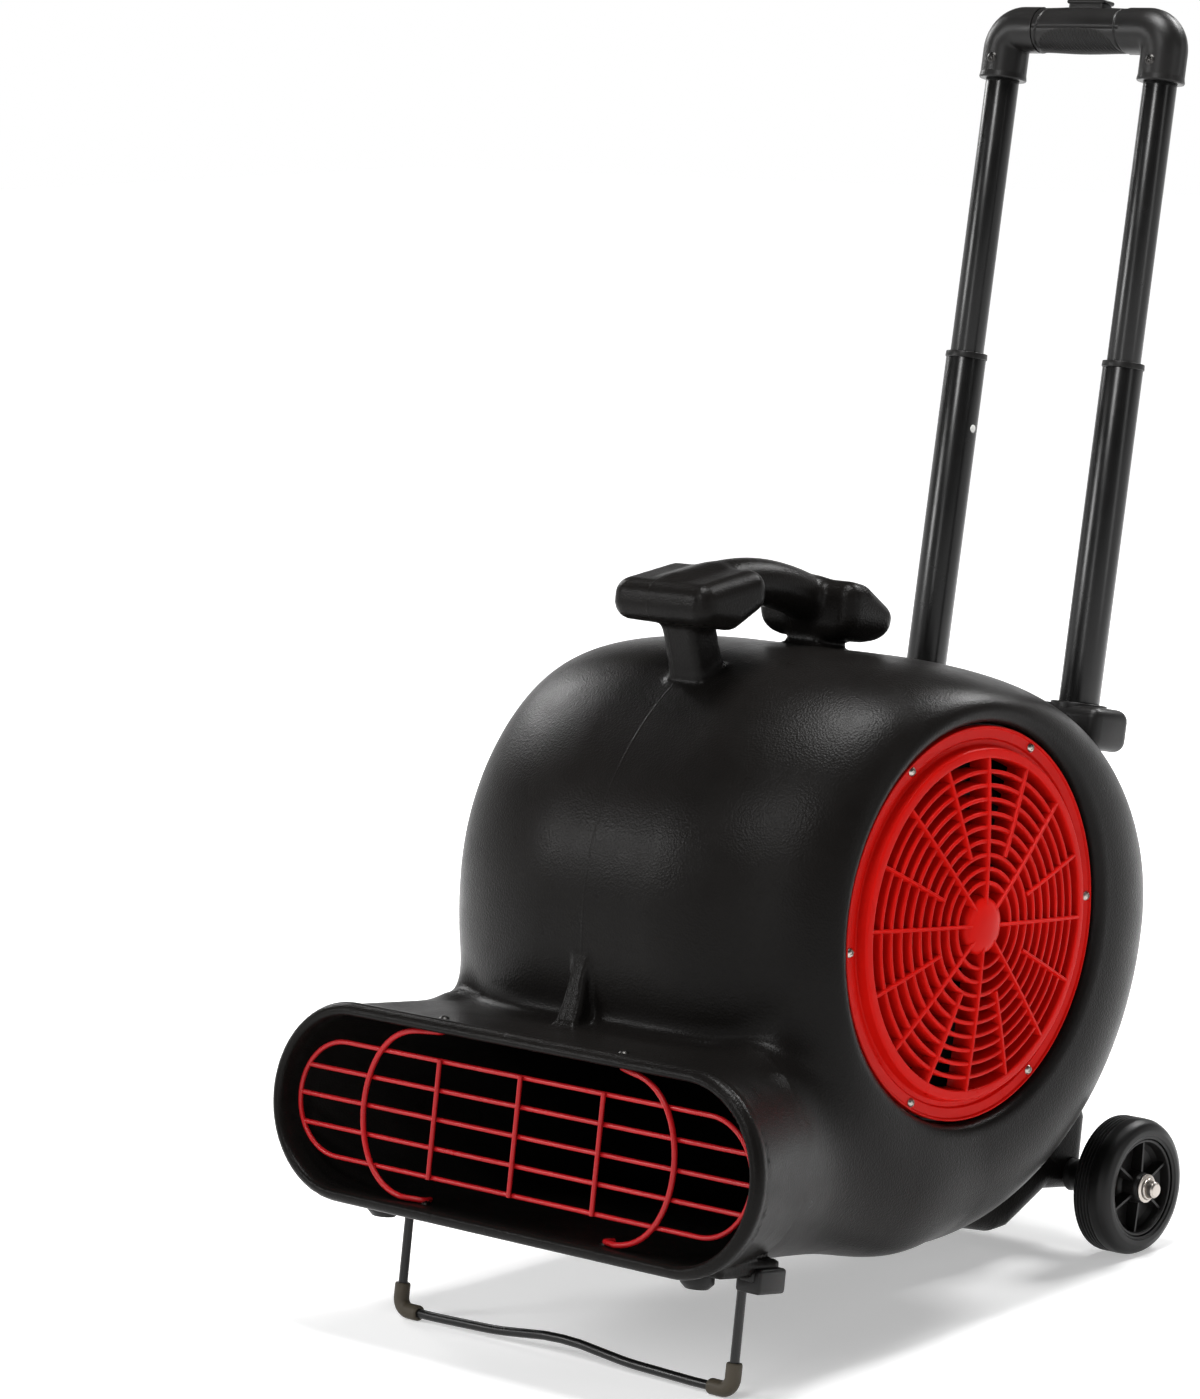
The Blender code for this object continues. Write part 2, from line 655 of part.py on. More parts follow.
def grille_slots():
    """The openings between the ring slats and the spokes."""
    pitch = (GRILLE_SLOT_R - GRILLE_HUB_R) / (GRILLE_SLATS + 1)
    slots = []
    for row in range(GRILLE_SLATS + 1):
        inner = GRILLE_HUB_R + row * pitch
        outer = inner + pitch - GRILLE_SLAT_WIDTH
        for spoke in range(GRILLE_SPOKES):
            middle = 2 * math.pi * (spoke + 0.5) / GRILLE_SPOKES
            half = math.pi / GRILLE_SPOKES
            half_in = half - GRILLE_SPOKE_WIDTH / 2 / inner
            half_out = half - GRILLE_SPOKE_WIDTH / 2 / outer
            steps = 1 if row < 3 else 2
            slots.append(arc_points((0, 0), outer, middle - half_out, middle + half_out, steps)
                         + arc_points((0, 0), inner, middle + half_in, middle - half_in, steps))
    return slots


def make_inlet_grille(side, sign):
    turn = AXIS_X if sign > 0 else AXIS_MINUS_X
    mesh = plate_mesh("inlet_grille_" + side, circle_points(FLANGE_R, DRUM_SEGMENTS),
                      FLANGE_THICKNESS, grille_slots())
    for vert in mesh.vertices:
        radius = math.hypot(vert.co.x, vert.co.y)
        vert.co.z += GRILLE_DOME * max(1 - (radius / GRILLE_SLOT_R) ** 2, 0.0)
    middle = sign * (FLANGE_X - FLANGE_THICKNESS / 2)
    add_object("inlet_grille_" + side, mesh, body, RED_PLASTIC, (middle, DRUM_Y, DRUM_Z), turn)
    circle = FLANGE_R - GRILLE_SCREW_INSET
    for i in range(GRILLE_SCREWS):
        angle = GRILLE_SCREW_ANGLE + 2 * math.pi * i / GRILLE_SCREWS
        place = (sign * (FLANGE_X + FIT_GAP), DRUM_Y + circle * math.cos(angle),
                 DRUM_Z + circle * math.sin(angle))
        add_screw(f"inlet_screw_{side}_{i + 1}", place, turn)


def add_screw(name, location, rotation):
    profile = [(0.0, SCREW_HEAD_HEIGHT), (0.6 * SCREW_HEAD_R, 0.8 * SCREW_HEAD_HEIGHT),
               (SCREW_HEAD_R, 0.0), (0.0, 0.0)]
    add_turned(name, profile, body, BRIGHT_STEEL, location, rotation, SCREW_SEGMENTS)


# Outlet grille

def make_outlet_grille():
    """A welded wire grille: a slot-shaped loop, rows, uprights and two bowed hoops."""
    half_pi = math.pi / 2
    reach = LOOP_HALF_WIDTH - LOOP_HALF_HEIGHT
    loop = (arc_points((reach, 0), LOOP_HALF_HEIGHT, -half_pi, half_pi, LOOP_ARC_STEPS)
            + arc_points((-reach, 0), LOOP_HALF_HEIGHT, half_pi, 3 * half_pi, LOOP_ARC_STEPS))
    grille = add_object("outlet_grille", tube_mesh("outlet_grille", [(x, 0, z) for x, z in loop],
                                                   WIRE_R, 1, True),
                        body, RED_WIRE, (0, GRILLE_PLANE_Y, LOOP_Z))
    wires = []
    for row in range(GRILLE_ROWS):
        z = LOOP_HALF_HEIGHT * (2 * (row + 1) / (GRILLE_ROWS + 1) - 1)
        half = reach + math.sqrt(LOOP_HALF_HEIGHT ** 2 - z ** 2)
        wires.append((f"grille_row_{row}", [(-half, ROW_OFFSET, z), (half, ROW_OFFSET, z)]))
    for column in (-1, 0, 1):
        x = column * GRILLE_UPRIGHT_PITCH
        wires.append((f"grille_upright_{column + 1}",
                      [(x, WIRE_OFFSET, -LOOP_HALF_HEIGHT), (x, WIRE_OFFSET, LOOP_HALF_HEIGHT)]))
    hoop_y = GRILLE_PLANE_Y + WIRE_OFFSET
    inset = HOUSING_WALL + WIRE_R + 2 * FIT_GAP
    top = shelf_z(hoop_y) - inset - LOOP_Z
    bottom = MOUTH_BOTTOM_Z + inset - LOOP_Z
    foot_rise = math.tan(SHELF_RISE) * HOOP_FOOT
    for side, sign in SIDES:
        hoop = [(sign * HOOP_END_X, WIRE_OFFSET + HOOP_FOOT, bottom)]
        steps = 10
        for i in range(steps + 1):
            share = i / steps
            x = HOOP_END_X + (HOOP_MIDDLE_X - HOOP_END_X) * math.sin(math.pi * share) ** HOOP_FULLNESS
            z = bottom + (top - bottom) * (0.5 - 0.5 * math.cos(math.pi * share))
            hoop.append((sign * x, WIRE_OFFSET, z))
        hoop.append((sign * HOOP_END_X, WIRE_OFFSET + HOOP_FOOT, top + foot_rise))
        wires.append(("grille_hoop_" + side, hoop))
    for name, points in wires:
        piece = add_object(name, tube_mesh(name, points, WIRE_R), body, None, (0, GRILLE_PLANE_Y, LOOP_Z))
        combine(grille, piece, "UNION")
    number = 1
    for side, sign in SIDES:
        x = sign * (HOOP_END_X - WIRE_R - SCREW_HEAD_R - FIT_GAP)
        screw_y = hoop_y + OUTLET_SCREW_SETBACK
        add_screw(f"outlet_screw_{number}", (x, screw_y, shelf_z(screw_y) + 2 * FIT_GAP), AXIS_Z)
        add_screw(f"outlet_screw_{number + 1}",
                  (x, screw_y, MOUTH_BOTTOM_Z + HOUSING_WALL + FIT_GAP), AXIS_Z)
        number += 2


# Fan and motor

def make_fan():
    fan_axis = add_empty("fan_axis", body, (0, DRUM_Y, DRUM_Z))
    bore = SHAFT_R + FIT_GAP
    rim = FAN_R - FAN_BLADE_DEPTH / 2
    profile = [(bore, FAN_HUB_LENGTH / 2), (FAN_HUB_R, FAN_HUB_LENGTH / 2), (FAN_HUB_R, FAN_DISC / 2),
               (rim, FAN_DISC / 2), (rim, -FAN_DISC / 2), (FAN_HUB_R, -FAN_DISC / 2),
               (FAN_HUB_R, -FAN_HUB_LENGTH / 2), (bore, -FAN_HUB_LENGTH / 2)]
    wheel = add_turned("blower_wheel", profile, fan_axis, GREY_METAL, rotation=AXIS_X,
                       steps=FAN_SEGMENTS, ring=True)
    matrices = []
    for i in range(FAN_BLADES):
        turn = Matrix.Rotation(2 * math.pi * i / FAN_BLADES, 4, "X")
        out = Matrix.Translation((0, 0, FAN_R - FAN_BLADE_DEPTH / 2))
        matrices.append(turn @ out @ Matrix.Rotation(FAN_BLADE_PITCH, 4, "X"))
    size = (2 * FAN_HALF_WIDTH - FAN_RING, FAN_BLADE_THICKNESS, FAN_BLADE_DEPTH)
    combine(wheel, add_object("blades", boxes_mesh("blades", size, matrices), fan_axis), "UNION")
    for side, sign in SIDES:
        ring_x = sign * (FAN_HALF_WIDTH - FAN_RING / 2)
        ring = add_sleeve("fan_ring_" + side, FAN_R + FAN_RING / 2, FAN_R - FAN_BLADE_DEPTH,
                          -FAN_RING / 2, FAN_RING / 2, fan_axis, None, (ring_x, 0, 0), AXIS_X,
                          FAN_SEGMENTS)
        combine(wheel, ring, "UNION")
    add_rod("motor_shaft", SHAFT_R, MOTOR_END_X - MOTOR_SHAFT_BORE + FIT_GAP, FAN_HUB_LENGTH / 2 + SHAFT_STUB,
            fan_axis, BRIGHT_STEEL, rotation=AXIS_X)


def make_motor():
    plate_x = HOUSING_WALL - SEAT_X + FIT_GAP + BRACKET_THICKNESS / 2
    outline = []
    half_arm = BRACKET_ARM_WIDTH / 2
    for i in range(BRACKET_ARMS):
        angle = 2 * math.pi * i / BRACKET_ARMS + math.pi / 6
        spread = math.asin(half_arm / MOTOR_R)
        for radius, side in ((MOTOR_R, -1), (BRACKET_REACH, -1), (BRACKET_REACH, 1), (MOTOR_R, 1)):
            turn = side * math.asin(half_arm / radius)
            outline.append((radius * math.cos(angle + turn), radius * math.sin(angle + turn)))
        gap = 2 * math.pi / BRACKET_ARMS - 2 * spread
        for step in (0.25, 0.5, 0.75):
            turn = angle + spread + gap * step
            outline.append((MOTOR_R * math.cos(turn), MOTOR_R * math.sin(turn)))
    add_object("motor_bracket", plate_mesh("motor_bracket", outline, BRACKET_THICKNESS), body,
               GREY_METAL, (plate_x, DRUM_Y, DRUM_Z), AXIS_X)
    start = plate_x + BRACKET_THICKNESS / 2 + FIT_GAP
    bore = SHAFT_R + SHAFT_CLEARANCE
    step = MOTOR_CHAMFER
    profile = [(0.0, MOTOR_END_X - MOTOR_SHAFT_BORE), (bore, MOTOR_END_X - MOTOR_SHAFT_BORE),
               (bore, MOTOR_END_X), (MOTOR_R - 2 * step, MOTOR_END_X), (MOTOR_R, MOTOR_END_X - step),
               (MOTOR_R, start + step), (MOTOR_R - 2 * step, start), (0.0, start)]
    add_turned("motor_casing", profile, body, GREY_METAL, (0, DRUM_Y, DRUM_Z), AXIS_X, MOTOR_SEGMENTS)


# Wheels

def make_wheel(side, sign):
    axis = add_empty("wheel_axis_" + side, body, (sign * WHEEL_X, 0, 0))
    half = WHEEL_WIDTH / 2
    cut = TYRE_SHOULDER * (1 - math.sqrt(0.5))
    tyre = [(TYRE_INNER_R, half), (WHEEL_R - TYRE_SHOULDER, half), (WHEEL_R - cut, half - cut),
            (WHEEL_R, half - TYRE_SHOULDER), (WHEEL_R, TYRE_SHOULDER - half),
            (WHEEL_R - cut, cut - half), (WHEEL_R - TYRE_SHOULDER, -half), (TYRE_INNER_R, -half)]
    add_turned("tyre_" + side, tyre, axis, TYRE_RUBBER, rotation=AXIS_X, steps=TYRE_SEGMENTS, ring=True)
    rim = TYRE_INNER_R - FIT_GAP
    bore = AXLE_R + AXLE_CLEARANCE
    edge = half - HUB_RIB_INSET / 2
    hub_profile = [(bore, half), (HUB_BOSS_R, half), (HUB_BOSS_R, HUB_WEB / 2), (rim - HUB_RIM, HUB_WEB / 2),
                   (rim - HUB_RIM, edge), (rim, edge), (rim, -edge), (rim - HUB_RIM, -edge),
                   (rim - HUB_RIM, -HUB_WEB / 2), (HUB_BOSS_R, -HUB_WEB / 2), (HUB_BOSS_R, -half),
                   (bore, -half)]
    hub = add_turned("wheel_hub_" + side, hub_profile, axis, BLACK_PLASTIC, rotation=AXIS_X,
                     steps=HUB_SEGMENTS, ring=True)
    rib_length = rim - HUB_RIM / 2 - HUB_BOSS_R + HUB_RIB_ROOT
    matrices = []
    for i in range(HUB_RIBS):
        turn = Matrix.Rotation(2 * math.pi * i / HUB_RIBS, 4, "X")
        out = Matrix.Translation((0, 0, HUB_BOSS_R - HUB_RIB_ROOT + rib_length / 2))
        matrices.append(turn @ out)
    ribs = boxes_mesh("hub_ribs_" + side, (2 * edge - HUB_RIB_INSET, HUB_RIB_WIDTH, rib_length), matrices)
    combine(hub, add_object("hub_ribs_" + side, ribs, axis), "UNION")

    turn = AXIS_X if sign > 0 else AXIS_MINUS_X
    inner = WHEEL_X - half
    add_sleeve("axle_bush_" + side, BUSH_R, AXLE_R + FIT_GAP, PEDESTAL_HALF_WIDTH + FIT_GAP, inner - FIT_GAP,
               body, BLACK_PLASTIC, rotation=turn, steps=RING_SEGMENTS)
    washer = WHEEL_X + half + FIT_GAP
    add_sleeve("axle_washer_" + side, WASHER_R, AXLE_R + FIT_GAP, washer, washer + WASHER_THICKNESS, body,
               BRIGHT_STEEL, rotation=turn, steps=RING_SEGMENTS)
    clip = washer + WASHER_THICKNESS + FIT_GAP
    add_sleeve("axle_clip_" + side, CLIP_R, AXLE_R + FIT_GAP, clip, clip + CLIP_THICKNESS, body,
               BRIGHT_STEEL, rotation=turn, steps=RING_SEGMENTS)


# Trolley handle

def make_handle():
    yoke = add_object("trolley_yoke", box_mesh("trolley_yoke", YOKE_SIZE, YOKE_ROUND), handle_line,
                      BLACK_PLASTIC, (0, 0, -YOKE_SIZE.z / 2))
    middle = add_empty("middle_stage", handle_line)
    inner = add_empty("inner_stage", middle)
    for side, sign in SIDES:
        x = sign * TUBE_X
        bore = add_rod("yoke_bore_" + side, OUTER_TUBE_R + FIT_GAP, -2 * YOKE_SIZE.z, YOKE_SIZE.z,
                       handle_line, None, (x, 0, 0))
        combine(yoke, bore, "DIFFERENCE")
        add_sleeve("outer_tube_" + side, OUTER_TUBE_R, OUTER_TUBE_R - OUTER_TUBE_WALL, -OUTER_TUBE_LENGTH,
                   -FIT_GAP, handle_line, TUBE_BLACK, (x, 0, 0))
        tube = add_sleeve("middle_tube_" + side, MIDDLE_TUBE_R, MIDDLE_TUBE_R - MIDDLE_TUBE_WALL,
                          -MIDDLE_TUBE_OVERLAP, MIDDLE_TUBE_TOP, middle, TUBE_BLACK, (x, 0, 0))
        if side == "left":
            add_lock_pin(tube, (x, 0, MIDDLE_TUBE_TOP - LOCK_PIN_DROP), middle)
        skirt = MIDDLE_TUBE_R + FIT_GAP
        lip = INNER_TUBE_R + FIT_GAP
        top = MIDDLE_TUBE_TOP + FIT_GAP
        ferrule = [(lip, top + FERRULE_WALL), (skirt + FERRULE_WALL, top + FERRULE_WALL),
                   (skirt + FERRULE_WALL, top + FERRULE_WALL - FERRULE_HEIGHT),
                   (skirt, top + FERRULE_WALL - FERRULE_HEIGHT), (skirt, top), (lip, top)]
        add_turned("ferrule_" + side, ferrule, middle, BLACK_PLASTIC, (x, 0, 0), ring=True)
        add_sleeve("inner_tube_" + side, INNER_TUBE_R, INNER_TUBE_R - INNER_TUBE_WALL,
                   MIDDLE_TUBE_TOP - INNER_TUBE_OVERLAP, ELBOW_BOTTOM + ELBOW_SOCKET, inner, TUBE_BLACK,
                   (x, 0, 0))
        make_elbow(side, sign, inner)
    make_grip(inner)


def add_lock_pin(tube, place, middle):
    """A flush pin in a hole through the tube's wall, on the side towards the other tube."""
    inside = MIDDLE_TUBE_R - MIDDLE_TUBE_WALL
    hole = add_rod("lock_hole", LOCK_PIN_R + FIT_GAP, inside - FIT_GAP - MIDDLE_TUBE_WALL,
                   MIDDLE_TUBE_R + MIDDLE_TUBE_WALL, middle, None, place, AXIS_X, LOCK_PIN_SEGMENTS)
    combine(tube, hole, "DIFFERENCE")
    add_rod("lock_pin", LOCK_PIN_R, inside + FIT_GAP, MIDDLE_TUBE_R, middle, WHITE_PLASTIC, place, AXIS_X,
            LOCK_PIN_SEGMENTS)


def make_elbow(side, sign, inner):
    """A moulded corner from the top of a tube round to the end of the grip."""
    corner = (TUBE_X - ELBOW_BEND_R, BAR_Z - ELBOW_BEND_R)
    bend = arc_points(corner, ELBOW_BEND_R, 0.0, math.pi / 2, 5)
    path = [(TUBE_X, ELBOW_BOTTOM), *bend, (GRIP_HALF_LENGTH + FIT_GAP, BAR_Z)]
    mesh = tube_mesh("elbow_" + side, [(sign * x, 0, z) for x, z in path], ELBOW_R, 4)
    elbow = add_object("elbow_" + side, mesh, inner, BLACK_PLASTIC)
    socket = add_rod("elbow_socket_" + side, INNER_TUBE_R + FIT_GAP, ELBOW_BOTTOM - ELBOW_SOCKET,
                     ELBOW_BOTTOM + ELBOW_SOCKET + FIT_GAP, inner, None, (sign * TUBE_X, 0, 0))
    combine(elbow, socket, "DIFFERENCE")


def make_grip(inner):
    half = GRIP_HALF_LENGTH
    profile = [(0.0, half), (GRIP_R, half), (GRIP_R, -half), (0.0, -half)]
    grip = add_turned("grip", profile, inner, BLACK_PLASTIC, (0, 0, BAR_Z), AXIS_X, 24)
    floor = BAR_Z + GRIP_R + BUTTON_RISE - BUTTON_SIZE.z - BUTTON_TRAVEL - BUTTON_GAP
    depth = GRIP_R + BAR_Z - floor
    pocket_size = (BUTTON_SIZE.x + 2 * BUTTON_GAP, BUTTON_SIZE.y + 2 * BUTTON_GAP, 2 * depth)
    pocket = add_object("button_pocket", box_mesh("button_pocket", pocket_size), inner, None,
                        (0, 0, floor + depth))
    combine(grip, pocket, "DIFFERENCE")
    press = add_empty("button_slide", inner, (0, 0, BAR_Z + GRIP_R + BUTTON_RISE))
    add_object("release_button", box_mesh("release_button", BUTTON_SIZE, BUTTON_ROUND), press, BLACK_PLASTIC,
               (0, 0, -BUTTON_SIZE.z / 2))


# Folding stand

def stand_path():
    """Half of the stand's wire on the right, from its pivot end to the middle of the foot bar."""
    foot_z = (SLEEVE_R - WHEEL_R + math.sin(TILT) * STAND_Y) / math.cos(TILT) - STAND_Z
    end_x = STAND_BLOCK_X + STAND_BLOCK.x / 2 - STAND_BLOCK_WALL - STAND_BORE_CLEARANCE
    top = arc_points((STAND_X + STAND_TOP_BEND_R, -STAND_TOP_BEND_R), STAND_TOP_BEND_R,
                     math.pi / 2, math.pi, 3)
    corner = arc_points((STAND_X - STAND_BEND_R, foot_z + STAND_BEND_R), STAND_BEND_R, 0.0, -math.pi / 2, 4)
    kink = [(STAND_KINK_HALF_WIDTH, foot_z), (0.0, foot_z + STAND_KINK)]
    return [(end_x, 0.0), *top, *corner, *kink], corner


def make_stand():
    pivot = add_empty("stand_pivot", body, (0, STAND_Y, STAND_Z))
    half, corner = stand_path()
    right = [(x, 0, z) for x, z in half]
    left = [(-x, 0, z) for x, z in half[-2::-1]]
    add_object("stand_wire", tube_mesh("stand_wire", right + left, STAND_WIRE_R, 2), pivot, TUBE_BLACK)
    for side, sign in SIDES:
        up = (corner[0][0], corner[0][1] + SLEEVE_LENGTH - STAND_BEND_R)
        across = (corner[-1][0] - SLEEVE_LENGTH + STAND_BEND_R, corner[-1][1])
        path = [(sign * x, 0, z) for x, z in [up, *corner, across]]
        sleeve = add_object("stand_sleeve_" + side, tube_mesh("stand_sleeve_" + side, path, SLEEVE_R, 3),
                            pivot, SLEEVE_RUBBER)
        beyond = [(up[0], up[1] + SLEEVE_R), *corner, (across[0] - SLEEVE_R, across[1])]
        hole = tube_mesh("sleeve_bore_" + side, [(sign * x, 0, z) for x, z in beyond],
                         STAND_WIRE_R + FIT_GAP, 2)
        combine(sleeve, add_object("sleeve_bore_" + side, hole, pivot), "DIFFERENCE")
        mesh = box_mesh("stand_block_" + side, STAND_BLOCK, STAND_BLOCK_CHAMFER, 1)
        place = (sign * STAND_BLOCK_X, STAND_Y, STAND_Z)
        block = add_object("stand_block_" + side, mesh, body, BLACK_PLASTIC, place)
        bore = add_rod("stand_bore_" + side, STAND_WIRE_R + STAND_BORE_CLEARANCE, -STAND_BLOCK.x,
                       STAND_BLOCK.x / 2 - STAND_BLOCK_WALL, body, None, place,
                       AXIS_X if sign > 0 else AXIS_MINUS_X, RING_SEGMENTS)
        combine(block, bore, "DIFFERENCE")
        top = FOOT_PAD_Z - FIT_GAP
        foot = [(0.0, top), (FOOT_R, top), (FOOT_R, FLAT_STANCE_Z + FOOT_CHAMFER),
                (FOOT_R - FOOT_CHAMFER, FLAT_STANCE_Z), (0.0, FLAT_STANCE_Z)]
        add_turned("front_foot_" + side, foot, body, BLACK_PLASTIC, (sign * FOOT_X, FOOT_Y, 0),
                   steps=RING_SEGMENTS)


# Switch and cable entry

def make_controls():
    face = -YOKE_SIZE.y / 2
    plate = box_mesh("switch_plate", SWITCH_PLATE, SWITCH_PLATE_CHAMFER, 1)
    add_object("switch_plate", plate, handle_line, BLACK_PLASTIC, (0, face + SWITCH_PLATE.y / 2, SWITCH_Z))
    knob_axis = add_empty("knob_axis", handle_line, (0, face + SWITCH_PLATE.y + FIT_GAP, SWITCH_Z))
    profile = [(0.0, KNOB_HEIGHT), (KNOB_R - KNOB_TAPER, KNOB_HEIGHT),
               (KNOB_R - KNOB_SKIRT, KNOB_SKIRT), (KNOB_R, 0.0), (0.0, 0.0)]
    add_turned("speed_knob", profile, knob_axis, BLACK_PLASTIC, rotation=AXIS_Y)
    gland = [(0.0, GLAND_LENGTH), (0.6 * GLAND_R, GLAND_LENGTH), (GLAND_R, 0.5 * GLAND_LENGTH),
             (GLAND_R, 0.0), (0.0, 0.0)]
    add_turned("cable_gland", gland, handle_line, BLACK_PLASTIC, (0, face, GLAND_Z), AXIS_Y, RING_SEGMENTS)


def box_of_parts():
    bpy.context.view_layer.update()
    depsgraph = bpy.context.evaluated_depsgraph_get()
    low = Vector((math.inf,) * 3)
    high = -low
    for obj in PARTS.objects:
        evaluated = obj.evaluated_get(depsgraph)
        mesh = evaluated.to_mesh()
        for vert in mesh.vertices:
            point = obj.matrix_world @ vert.co
            low = Vector(map(min, low, point))
            high = Vector(map(max, high, point))
        evaluated.to_mesh_clear()
    return low, high


make_housing()
for side_name, side_sign in SIDES:
    make_inlet_grille(side_name, side_sign)
    make_wheel(side_name, side_sign)
make_outlet_grille()
make_fan()
make_motor()
add_rod("wheel_axle", AXLE_R, -AXLE_END_X, AXLE_END_X, body, BRIGHT_STEEL, rotation=AXIS_X)
make_handle()
make_stand()
make_controls()

# The origin is the middle of the underside of the machine's own box.
lowest, highest = box_of_parts()
root.location = (0, -(lowest.y + highest.y) / 2, -lowest.z)
bpy.context.view_layer.update()
print("box in millimetres", [round(1000 * v, 1) for v in highest - lowest])
for empty in CUTTERS.objects:
    if empty.type == "EMPTY":
        print(empty.name, [round(v, 5) for v in empty.matrix_world.translation])
print("handle direction", [round(v, 5) for v in handle_line.matrix_world.to_3x3() @ Vector((0, 0, 1))])
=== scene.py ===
"""Looks of a snail-drum floor blower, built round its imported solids, in the row frame and in metres."""

import json
from math import atan, atan2, cos, exp, pi, radians, sin, sqrt, tan

import bmesh
import bpy
import numpy as np
from mathutils import Matrix, Vector


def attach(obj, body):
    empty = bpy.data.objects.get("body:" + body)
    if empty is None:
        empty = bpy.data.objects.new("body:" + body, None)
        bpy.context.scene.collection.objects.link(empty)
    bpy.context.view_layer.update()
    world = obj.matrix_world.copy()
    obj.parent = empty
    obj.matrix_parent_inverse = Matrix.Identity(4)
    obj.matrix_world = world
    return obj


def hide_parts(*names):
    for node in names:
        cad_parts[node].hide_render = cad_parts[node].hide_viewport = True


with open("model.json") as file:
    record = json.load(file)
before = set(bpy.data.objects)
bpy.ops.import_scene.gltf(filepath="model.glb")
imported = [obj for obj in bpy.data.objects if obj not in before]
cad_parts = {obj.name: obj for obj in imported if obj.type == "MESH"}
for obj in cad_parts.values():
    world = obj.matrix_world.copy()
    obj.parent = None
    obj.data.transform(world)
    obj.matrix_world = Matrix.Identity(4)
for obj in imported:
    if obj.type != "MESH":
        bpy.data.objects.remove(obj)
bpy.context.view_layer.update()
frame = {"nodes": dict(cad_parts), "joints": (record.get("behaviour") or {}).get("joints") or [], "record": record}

SIDES = (("left", -1), ("right", 1))
FIT_GAP = 0.0003

# Drum: four values each, at the top, the rear, the bottom and the front
DRUM_Y = -0.268
DRUM_Z = 0.1945
DRUM_HALF_X = 0.173
SCROLL_R = np.array((0.1755, 0.236, 0.233, 0.203))
SCROLL_CROWN = 0.0065
SCROLL_CROWN_AT = radians(325)
SHOULDER_X = np.array((0.05, 0.118, 0.11, 0.045))
SHOULDER_POWER = np.array((2.0, 2.1, 2.1, 1.7))
RIM_WIDTH = np.array((0.008, 0.017, 0.013, 0.0035))
WALL = 0.007
SEAM_X = -0.008

# Inlets and their grilles
INLET_R = 0.124
INLET_START_X = 0.13
FLANGE_X = 0.166
RIM_R = 0.138
SEAT_X = 0.1607
GRILLE_R = 0.1145
GRILLE_EDGE = 0.0105
GRILLE_RISE = 0.0065
GRILLE_HUB_R = 0.02
GRILLE_RINGS = 9
GRILLE_DEPTH = 0.017
GRILLE_SCREW_R = 0.131

# Outlet duct and its wire guard
MOUTH_Y = -0.537
MOUTH_HALF_X = 0.219
MOUTH_TOP_Z = 0.0945
MOUTH_BOTTOM_Z = -0.0378
MOUTH_RIM = 0.016
SHELF_SLOPE = tan(radians(6))
SHELF_END_Y = -0.45
DUCT_END_HALF_X = 0.158
DUCT_END_TOP_Z = 0.045
DUCT_END_BOTTOM_Z = -0.0382
WIRE_R = 0.00225
ROW_R = 0.0017
GUARD_Y = -0.5225
GUARD_Z = 0.02835
GUARD_HALF_X = 0.205
GUARD_HALF_Z = 0.03965
GUARD_PITCH = 0.0745
GUARD_FRONT = -0.003
HOOP_MIDDLE_X = 0.141
HOOP_END_X = 0.088
HOOP_R = 0.002
GUARD_SCREW_X = 0.0815

# Trolley handle, measured up its own line from the top of its yoke
TUBE_X = 0.072
YOKE_SIZE = (0.21, 0.044, 0.031)
OUTER_TUBE_R = 0.018
OUTER_TUBE_LENGTH = 0.335
MIDDLE_TUBE_R = 0.015
MIDDLE_TUBE_TOP = 0.25
LOCK_PIN_DROP = 0.055
INNER_TUBE_R = 0.0125
BAR_Z = 0.4945
ELBOW_BOTTOM = 0.4575
ELBOW_R = 0.0172
ELBOW_BEND_R = 0.018
ELBOW_SEAM = 0.0006
GRIP_R = 0.0165
GRIP_HALF_X = 0.0397
RIB_PITCH = 0.0031

# Wheels
WHEEL_X = 0.13
WHEEL_R = 0.05
WHEEL_HALF_X = 0.016
TYRE_INNER_R = 0.036
AXLE_R = 0.006
AXLE_END_X = 0.1562

# Stand
STAND_X = 0.152
STAND_Y = -0.457
STAND_Z = -0.04475
STAND_WIRE_R = 0.00325
STAND_BEND_R = 0.012
STAND_BLOCK_X = 0.167
SLEEVE_R = 0.0055
FOOT_X = 0.143
FOOT_Y = -0.493

# Switch and cable entry, measured down the handle's line
REAR_FACE = -0.022
SWITCH_DROP = 0.11
GLAND_DROP = 0.185
DIAL_R = 0.0225
DIGIT_HEIGHT = 0.0065
KNOB_R = 0.016

joints = {j["name"]: j for j in frame["joints"]}
mounts = {m["name"]: m for m in frame["record"]["mounts"]}


def turn(angle, axis):
    return Matrix.Rotation(angle, 4, axis)


def move(*place):
    return Matrix.Translation(place)


axle = joints["wheel_left_spin"]["pos_m"]
mouth_axis = mounts["outlet_rim"]["axis"]
TILT = atan2(mouth_axis[2], -mouth_axis[1])
BODY = move(0, axle[1], axle[2]) @ turn(-TILT, "X")
line_axis = Vector(joints["handle_lower_slide"]["axis"])
bar = Vector(mounts["trolley_grip"]["pos_m"])
LINE = move(*(bar - BAR_Z * line_axis)) @ turn(-atan2(line_axis.y, line_axis.z), "X")
LINE_IN_BODY = BODY.inverted() @ LINE
OUTWARD = {side: turn(sign * pi / 2, "Y") for side, sign in SIDES}


# Mesh helpers

STRAIGHT = 1.56


